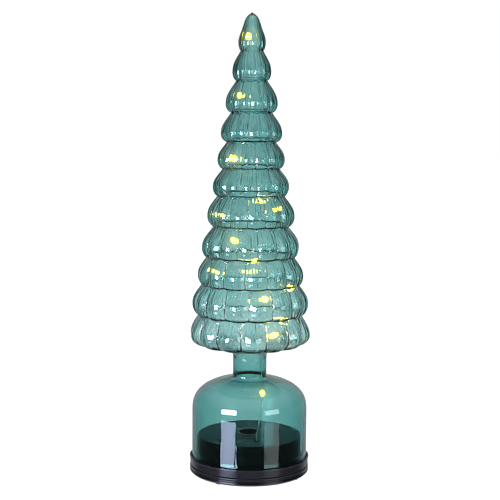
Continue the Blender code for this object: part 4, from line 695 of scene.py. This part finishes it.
def row_table(name, rows):
    """A mesh of loose points that carries one glass row each."""
    mesh = bpy.data.meshes.new(name)
    mesh.from_pydata([(0.0, 0.0, index * MM) for index in range(len(rows))], [], [])
    for column, label in enumerate(ROW_LABELS):
        scale = MM if column < 2 else 1.0
        values = mesh.attributes.new(label, "FLOAT", "POINT")
        values.data.foreach_set("value", [row[column] * scale for row in rows])
    return mesh


# ---------------------------------------------------------------- round CAD pieces, made rounder

def rounded_copy(node, centre=(0.0, 0.0), least=0.0012, crisp=28):
    """A copy of a CAD node whose arcs about an upright axis get more points, all on the true circle.
    Arcs of a smaller radius than the least stay, and edges sharper than crisp degrees stay crisp."""
    mesh = NODES[node].data.copy()
    mesh.name = node + "_round"
    shape = bmesh.new()
    shape.from_mesh(mesh)
    bmesh.ops.remove_doubles(shape, verts=shape.verts, dist=1e-6)
    bmesh.ops.dissolve_limit(shape, angle_limit=FLAT_ANGLE, verts=shape.verts, edges=shape.edges)
    axis = Vector(centre)
    arcs = {}
    for edge in shape.edges:
        a, b = (vert.co.copy() for vert in edge.verts)
        radius = (a.xy - axis).length
        level = abs(a.z - b.z) < SAME_HEIGHT and abs(radius - (b.xy - axis).length) < SAME_RADIUS
        if level and radius > least and (b - a).length / 2 / radius < math.sin(WIDEST_STEP / 2):
            arcs[edge] = (a, b, radius)
    before = set(shape.verts)
    bmesh.ops.subdivide_edges(shape, edges=list(arcs), cuts=ARC_CUTS, use_grid_fill=True)
    for vert in set(shape.verts) - before:
        for a, b, radius in arcs.values():
            chord, off = (b - a).xy, (vert.co - a).xy
            share = off.dot(chord) / chord.length_squared
            on_chord = 0.0 < share < 1.0 and (off - chord * share).length < ON_CHORD
            if on_chord and abs(vert.co.z - a.z) <= ON_CHORD:
                vert.co.xy = axis + radius * (vert.co.xy - axis).normalized()
                break
    bmesh.ops.triangulate(shape, faces=[face for face in shape.faces if len(face.verts) > 4])
    shape.to_mesh(mesh)
    shape.free()
    mesh.shade_smooth()
    mesh.set_sharp_from_angle(angle=math.radians(crisp))
    return mesh


def keep_flats_flat(piece):
    """Weights the normals by face size, so big flat faces stay flat beside rounded edges."""
    modifier = piece.modifiers.new("Weighted normals", "WEIGHTED_NORMAL")
    modifier.keep_sharp = True
    modifier.weight = 80
    keep_result(piece, modifier)


# ---------------------------------------------------------------- the LED wire's line

def wire_points():
    """The wire's way as a smooth line of points, and the LEDs' places and directions, in metres."""
    way = [Vector(spot[1:]) * MM for spot in WIRE_WAY]
    points, leds = [], []
    for index in range(len(way) - 1):
        a = way[max(index - 1, 0)]
        b, c = way[index], way[index + 1]
        d = way[min(index + 2, len(way) - 1)]
        for step in range(WIRE_STEPS):
            t = step / WIRE_STEPS
            points.append(0.5 * (2 * b + (c - a) * t + (2 * a - 5 * b + 4 * c - d) * t * t
                                 + (3 * b - a - 3 * c + d) * t ** 3))
    points.append(way[-1])
    for index, spot in enumerate(WIRE_WAY):
        if spot[0] == "L":
            here = index * WIRE_STEPS
            ahead = points[min(here + 1, len(points) - 1)] - points[here - 1]
            leds.append((way[index], ahead.normalized()))
    return points, leds


# ---------------------------------------------------------------- settings

class TreeLampGlass(bpy.types.PropertyGroup):
    """Sizes and tint of the blown glass."""
    flutes: IntProperty(name="Flutes", description="Lobes round each tier", default=14, min=6, max=24)
    columns: IntProperty(
        name="Columns per flute", description="Mesh columns on one lobe", default=17, min=4, max=24)
    crease_depth: FloatProperty(
        name="Crease depth", description="Depth of a crease as a share of the radius",
        default=0.080, subtype="FACTOR", min=0.0, max=0.2)
    fullness: FloatProperty(
        name="Lobe fullness", description="Lower makes fuller lobes and narrower creases",
        default=1.05, min=0.3, max=1.5)
    lobe_drop: FloatProperty(
        name="Lobe drop", description="How far a lobe hangs lower than its creases",
        default=0.025, subtype="FACTOR", min=0.0, max=0.1)
    wall: FloatProperty(
        name="Wall", description="Thickness of the glass",
        default=0.0018, subtype="DISTANCE", unit="LENGTH", min=0.0008, max=0.004)
    inner_crease: FloatProperty(
        name="Inner crease", description="How much of a crease the inside repeats",
        default=0.85, subtype="FACTOR", min=0.0, max=1.0)
    fold_width: FloatProperty(
        name="Fold width", description="Width of the crease's fold as a share of a lobe",
        default=0.16, subtype="FACTOR", min=0.01, max=1.0)
    fold_depth: FloatProperty(
        name="Fold depth", description="Height of the fold's flanks",
        default=0.0006, subtype="DISTANCE", unit="LENGTH", min=0.0)
    # painted shade: the darker tint laid into the creases
    crease_shade_tint: FloatVectorProperty(
        name="Painted crease shade", description="Painted shade: a deeper tint in the creases",
        default=linear("#86BBB7"), size=4, subtype="COLOR", min=0.0, max=1.0)
    tint: FloatVectorProperty(
        name="Tint", description="Colour that the melt lets through",
        default=linear("#30C3C1"), size=4, subtype="COLOR", min=0.0, max=1.0)
    tint_density: FloatProperty(
        name="Tint density", description="Strength of the tint, per metre of glass",
        default=570.0, min=0.0)


class TreeLampLeds(bpy.types.PropertyGroup):
    """Sizes and light of the LED string."""
    strand_radius: FloatProperty(
        name="Strand radius", description="Radius of one lacquered strand",
        default=0.00012, subtype="DISTANCE", unit="LENGTH")
    twist_pitch: FloatProperty(
        name="Twist pitch", description="Length of one full twist of the pair",
        default=0.016, subtype="DISTANCE", unit="LENGTH")
    drop_radius: FloatProperty(
        name="Drop radius", description="Radius of a resin drop",
        default=0.0021, subtype="DISTANCE", unit="LENGTH")
    drop_length: FloatProperty(
        name="Drop length", description="Length of a resin drop along the wire",
        default=0.0054, subtype="DISTANCE", unit="LENGTH")
    chip_radius: FloatProperty(
        name="Chip radius", description="Radius of the glowing chip in a drop",
        default=0.0007, subtype="DISTANCE", unit="LENGTH")
    colour: FloatVectorProperty(
        name="Light colour", description="Colour of the glowing drops",
        default=linear("#FFB400"), size=4, subtype="COLOR", min=0.0, max=1.0)
    glow: FloatProperty(name="Glow", description="Brightness of the resin", default=8.0, min=0.0)
    strength: FloatProperty(
        name="Strength", description="Brightness of the chips", default=200.0, min=0.0)


class TreeLampStage(bpy.types.PropertyGroup):
    """Lens and lights of the studio."""
    lens: FloatProperty(name="Lens", description="Focal length in millimetres", default=91.9)
    left_light: FloatProperty(
        name="Left softbox", description="Radiance of the left softbox", default=24.0)
    right_light: FloatProperty(
        name="Right softbox", description="Radiance of the right softbox", default=6.0)
    mirror: FloatProperty(
        name="Mirrored share", description="How much of a softbox the studio floor mirrors",
        default=0.42, subtype="FACTOR", min=0.0, max=1.0)


# ---------------------------------------------------------------- the studio

def place_camera(scene, lens):
    """The camera in front of the lamp, tilted down to its middle and rolled as the picture is."""
    data = bpy.data.cameras.new("studio_camera")
    data.lens, data.sensor_width = lens, 36.0
    data.shift_x, data.shift_y = CAMERA_SHIFT
    camera = bpy.data.objects.new("studio_camera", data)
    scene.collection.objects.link(camera)
    camera.location = (0.0, -CAMERA_AWAY, CAMERA_HEIGHT)
    tilt = math.atan2(CAMERA_HEIGHT - AIM_HEIGHT, CAMERA_AWAY)
    camera.rotation_mode = "ZYX"      # roll about the view first, then tilt
    camera.rotation_euler = (math.pi / 2 - tilt, 0.0, math.radians(CAMERA_ROLL))
    scene.camera = camera


def lay_table():
    """A round table top under the lamp, which the lamp's gloss doesn't mirror."""
    mesh = bpy.data.meshes.new("table_top")
    rim = [(TABLE_RADIUS * math.sin(side * math.tau / TABLE_SIDES),
            TABLE_RADIUS * math.cos(side * math.tau / TABLE_SIDES), 0.0) for side in range(TABLE_SIDES)]
    mesh.from_pydata(rim, [], [tuple(reversed(range(TABLE_SIDES)))])
    table = new_piece("table_top", mesh, pale_table())
    table.visible_glossy = False


def hang_softboxes(stage):
    """The softboxes and what the floor mirrors of them: upright cards that only light and reflect."""
    half = math.tan(math.radians(SOFTBOX_HALF_ANGLE))
    for name, azimuth, light, low, high, hue in SOFTBOXES:
        turn = math.radians(azimuth)
        across = Vector((math.cos(turn), math.sin(turn), 0.0)) * half
        middle = Vector((math.sin(turn), -math.cos(turn), 0.0))
        corners = [middle + side * across + Vector((0.0, 0.0, height))
                   for side, height in ((-1, low), (1, low), (1, high), (-1, high))]
        mesh = bpy.data.meshes.new(name)
        mesh.from_pydata(corners, [], [(0, 1, 2, 3)])
        power = getattr(stage, light) * (stage.mirror if high < 0.0 else 1.0)
        card = new_piece(name, mesh, softbox_cloth(name, hue, power))
        card.visible_camera = card.visible_shadow = False


def light_room(world):
    """White surroundings; the gloss mirrors a dark studio with light behind, above and below."""
    tree = empty_tree(world)
    path = add(tree, "ShaderNodeLightPath").outputs
    way = add(tree, "ShaderNodeTexCoord").outputs["Generated"]
    behind, upward = add(tree, "ShaderNodeSeparateXYZ", (way,)).outputs[1:]
    backdrop, ceiling, ground, overhead = (
        add(tree, RAMP, {"Value": direction, "From Min": start, "From Max": end, "To Min": low,
                         "To Max": high}, interpolation_type="SMOOTHSTEP")
        for direction, start, end, low, high in (
            (behind, 0.3, 0.9, 0.02, 0.6),
            (upward, 0.2, 0.9, 0.0, 1.0),
            (upward, -0.75, -0.35, 0.95, 0.0),     # the underside of each tier mirrors the white table
            (upward, 0.55, 0.9, 1.0, 0.15)))
    room_light = add(tree, MATH, (backdrop, ceiling), operation="MAXIMUM")
    room_light = add(tree, MATH, (room_light, ground), operation="MAXIMUM")
    through = add(tree, MIX, {0: path["Is Camera Ray"], 2: overhead, 3: 1.0}, data_type="FLOAT")
    white = add(tree, "ShaderNodeBackground", {"Color": linear("#FFFFFF"), "Strength": through})
    room = add(tree, "ShaderNodeBackground", {"Color": linear("#ECEFF5"), "Strength": room_light})
    # light that was mirrored on its way shows the room, and all other light the white surroundings
    seen = add(tree, "ShaderNodeMixShader", (path["Glossy Depth"], white, room))
    add(tree, "ShaderNodeOutputWorld", {"Surface": seen})


def finish_picture(scene):
    """The glow of the lens round the LEDs, and the camera's slight sharpening of its picture."""
    tree = empty_tree(scene)
    picture = add(tree, "CompositorNodeRLayers").outputs["Image"]
    bloom = add(tree, "CompositorNodeGlare", {
        "Image": picture, "Threshold": 1.1, "Strength": 1.0, "Size": 0.5
        }, glare_type="BLOOM", quality="HIGH").outputs["Image"]
    # a camera sharpens in the finished picture's own range and gamma
    held = add(tree, "CompositorNodeMixRGB", {
        0: 1.0, 1: bloom, 2: linear("#FFFFFF")}, blend_type="DARKEN")
    shown = add(tree, "CompositorNodeGamma", {"Image": held, "Gamma": 1 / DISPLAY_GAMMA})
    crisp = add(tree, "CompositorNodeFilter", {
        "Fac": SHARPENING, "Image": shown}, filter_type="SHARPEN_DIAMOND")
    crisp = add(tree, "CompositorNodeGamma", {"Image": crisp, "Gamma": DISPLAY_GAMMA})
    add(tree, "CompositorNodeComposite", {"Image": crisp})
    scene.view_settings.view_transform = "Standard"
    scene.view_settings.look = "None"


# ---------------------------------------------------------------- operators

class TREELAMP_OT_glass(bpy.types.Operator):
    """Blows the fluted glass tree with its trunk and dome"""
    bl_idname = "tree_lamp.glass"
    bl_label = "Glass tree"

    def execute(self, context):
        glass = context.scene.tree_lamp_glass
        outside = outer_rows(360.0 / (glass.columns * glass.flutes))
        inside = inner_rows(outside, glass.wall / MM, glass.inner_crease)
        # the rim is ground flat, with a small chamfer outside
        radius, rest = outside[-1][0], outside[-1][2:]
        rim = [(radius - 0.2, RIM_Z / MM + 0.1) + rest,
               (radius - glass.wall / MM / 2, RIM_Z / MM) + rest]
        piece = new_piece("glass_tree_blown", row_table("glass_tree_blown", outside + rim + inside))
        run_tree(piece, fluted_glass_tree(), {
            "Columns": glass.columns * glass.flutes, "Flutes": glass.flutes,
            "Crease depth": glass.crease_depth, "Lobe fullness": glass.fullness,
            "Lobe drop": glass.lobe_drop, "Material": slot_material("teal_glass")})
        put_on_body(piece, "turntable", "teal_glass", "glass_tree")
        return {"FINISHED"}


class TREELAMP_OT_base(bpy.types.Operator):
    """Rounds and finishes the drum, the base tray and the other round mouldings"""
    bl_idname = "tree_lamp.base"
    bl_label = "Drum and base"

    def execute(self, context):
        finishes = {
            # the drum's mould is polished and only its seat ring is satin like the base; the hub's
            # recess gets a darker, duller black, painted shade in the recess
            "turntable_drum": (slot_material("black_abs"), polished_black_abs(), grained(
                "recess-shaded black ABS", "#030404", "#060707", 0.3, (0.75, 0.95), ior=1.54)),
            # painted shade: a darker copy of the satin black for the base tray, whose ring lies low
            # beside the table
            "base_tray": (satin_black_abs("shaded satin black ABS", "#05060A", "#0A0B11"),),
            # painted shade: the glide ring, whose slot is white acetal, is black so that the groove
            # between the two rings shows dark
            "glide_ring": (grained(
                "acetal blackened as groove shade", "#050606", "#0A0B0B", 4.0, (0.35, 0.50), ior=1.48),),
        }
        for node in ("turntable_drum", "base_tray", "motor_housing", "glide_ring", "glass_gasket",
                     "slip_ring_board", "inner_slip_ring", "outer_slip_ring"):
            own = finishes.get(node) or (slot_material(SLOT_OF[node]),)
            piece = new_piece(node + "_round", rounded_copy(node), *own)
            keep_flats_flat(piece)
            if node == "turntable_drum":
                for face in piece.data.polygons:
                    reach = face.center.xy.length
                    # faces in the hub's recess take the darker, duller black of the painted recess
                    # shade
                    if reach < RECESS_RADIUS * MM and face.center.z < RECESS_TOP * MM:
                        face.material_index = 2
                    elif reach < SEAT_INSIDE * MM:
                        face.material_index = 1
            put_on_body(piece, body_of(NODES[node])[0], SLOT_OF[node], node)
        return {"FINISHED"}


class TREELAMP_OT_small_round(bpy.types.Operator):
    """Rounds the feet, screws and grommet"""
    bl_idname = "tree_lamp.small_round"
    bl_label = "Feet and screws"

    def execute(self, context):
        blackened = grained(
            "black-oxide steel", "#0C0D0E", "#161718", 0.5, (0.40, 0.55), metallic=1.0)
        small = ("rubber_foot", "case_screw", "board_screw", "hub_screw", "motor_screw",
                 "battery_door_screw", "wire_grommet")
        for node in SLOT_OF:
            if not node.startswith(small):
                continue
            low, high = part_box(node)
            centre = ((low.x + high.x) / 2, (low.y + high.y) / 2)
            # the two screws that show in the drum's top are blackened
            dark = node.startswith("board_screw")
            piece = new_piece(node + "_round", rounded_copy(node, centre, least=0.0003, crisp=35),
                              blackened if dark else slot_material(SLOT_OF[node]))
            keep_flats_flat(piece)
            put_on_body(piece, body_of(NODES[node])[0], SLOT_OF[node], node)
        return {"FINISHED"}


class TREELAMP_OT_led_string(bpy.types.Operator):
    """Lays the twisted LED wire through the glass and puts the resin drops on it"""
    bl_idname = "tree_lamp.led_string"
    bl_label = "LED string"

    def execute(self, context):
        leds = context.scene.tree_lamp_leds
        points, spots = wire_points()
        line = bpy.data.meshes.new("led_wire_pair")
        line.from_pydata(points, [(i, i + 1) for i in range(len(points) - 1)], [])
        wire = new_piece("led_wire_pair", line)
        run_tree(wire, twisted_pair_tree(), {
            "Strand radius": leds.strand_radius, "Twist pitch": leds.twist_pitch,
            "Material": slot_material("lacquered_wire")})
        put_on_body(wire, "turntable", "lacquered_wire", "led_wire")
        dots = bpy.data.meshes.new("led_drops")
        dots.from_pydata([spot for spot, way in spots], [], [])
        ways = dots.attributes.new("way", "FLOAT_VECTOR", "POINT")
        ways.data.foreach_set("vector", [c for spot, way in spots for c in way])
        tree = led_drop_tree()
        beads = [node for node in SLOT_OF if node.startswith("led_bead")]
        for name, radius, length, finish, nodes in (
            ("led_drops", leds.drop_radius, leds.drop_length, slot_material("warm_led_resin"), beads),
            ("led_chips", leds.chip_radius, 2 * leds.chip_radius, led_phosphor(leds), ()),
        ):
            lights = new_piece(name, dots.copy())
            run_tree(lights, tree, {"Drop radius": radius, "Drop length": length, "Material": finish})
            put_on_body(lights, "turntable", "warm_led_resin", *nodes)
        return {"FINISHED"}


class TREELAMP_OT_finishes(bpy.types.Operator):
    """Gives every CAD node that stays its own finish"""
    bl_idname = "tree_lamp.finishes"
    bl_label = "Finishes of the inner parts"

    def execute(self, context):
        for node, thing in NODES.items():
            finish = slot_material(SLOT_OF[node])
            for slot in thing.material_slots:
                slot.material = finish
        return {"FINISHED"}


class TREELAMP_OT_stage(bpy.types.Operator):
    """Sets the camera, the pale table, the softboxes, the room and the glow of the lens"""
    bl_idname = "tree_lamp.stage"
    bl_label = "Stage"

    def execute(self, context):
        scene = context.scene
        stage = scene.tree_lamp_stage
        place_camera(scene, stage.lens)
        lay_table()
        hang_softboxes(stage)
        scene.world = bpy.data.worlds.new("pale_studio")
        light_room(scene.world)
        finish_picture(scene)
        return {"FINISHED"}


class TREELAMP_PT_panel(bpy.types.Panel):
    """Sizes, finishes and building steps of the tree lamp"""
    bl_idname = "TREELAMP_PT_panel"
    bl_label = "Tree lamp"
    bl_space_type = "VIEW_3D"
    bl_region_type = "UI"
    bl_category = "Tree lamp"

    def draw(self, context):
        layout = self.layout
        for attribute, group in GROUPS:
            box = layout.box()
            for name in group.__annotations__:
                box.prop(getattr(context.scene, attribute), name)
        for operator in OPERATORS:
            layout.operator(operator.bl_idname)


GROUPS = (
    ("tree_lamp_glass", TreeLampGlass), ("tree_lamp_leds", TreeLampLeds),
    ("tree_lamp_stage", TreeLampStage),
)
OPERATORS = (
    TREELAMP_OT_stage, TREELAMP_OT_glass, TREELAMP_OT_base, TREELAMP_OT_small_round,
    TREELAMP_OT_led_string, TREELAMP_OT_finishes,
)


def register():
    for name, group in GROUPS:
        bpy.utils.register_class(group)
        setattr(bpy.types.Scene, name, PointerProperty(type=group))
    for operator in OPERATORS:
        bpy.utils.register_class(operator)
    bpy.utils.register_class(TREELAMP_PT_panel)


def unregister():
    bpy.utils.unregister_class(TREELAMP_PT_panel)
    for operator in reversed(OPERATORS):
        bpy.utils.unregister_class(operator)
    for name, group in reversed(GROUPS):
        delattr(bpy.types.Scene, name)
        bpy.utils.unregister_class(group)


def main():
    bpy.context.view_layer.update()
    register()
    bpy.ops.tree_lamp.stage()
    bpy.ops.tree_lamp.glass()
    bpy.ops.tree_lamp.base()
    bpy.ops.tree_lamp.small_round()
    bpy.ops.tree_lamp.led_string()
    bpy.ops.tree_lamp.finishes()


if __name__ == "__main__":
    main()
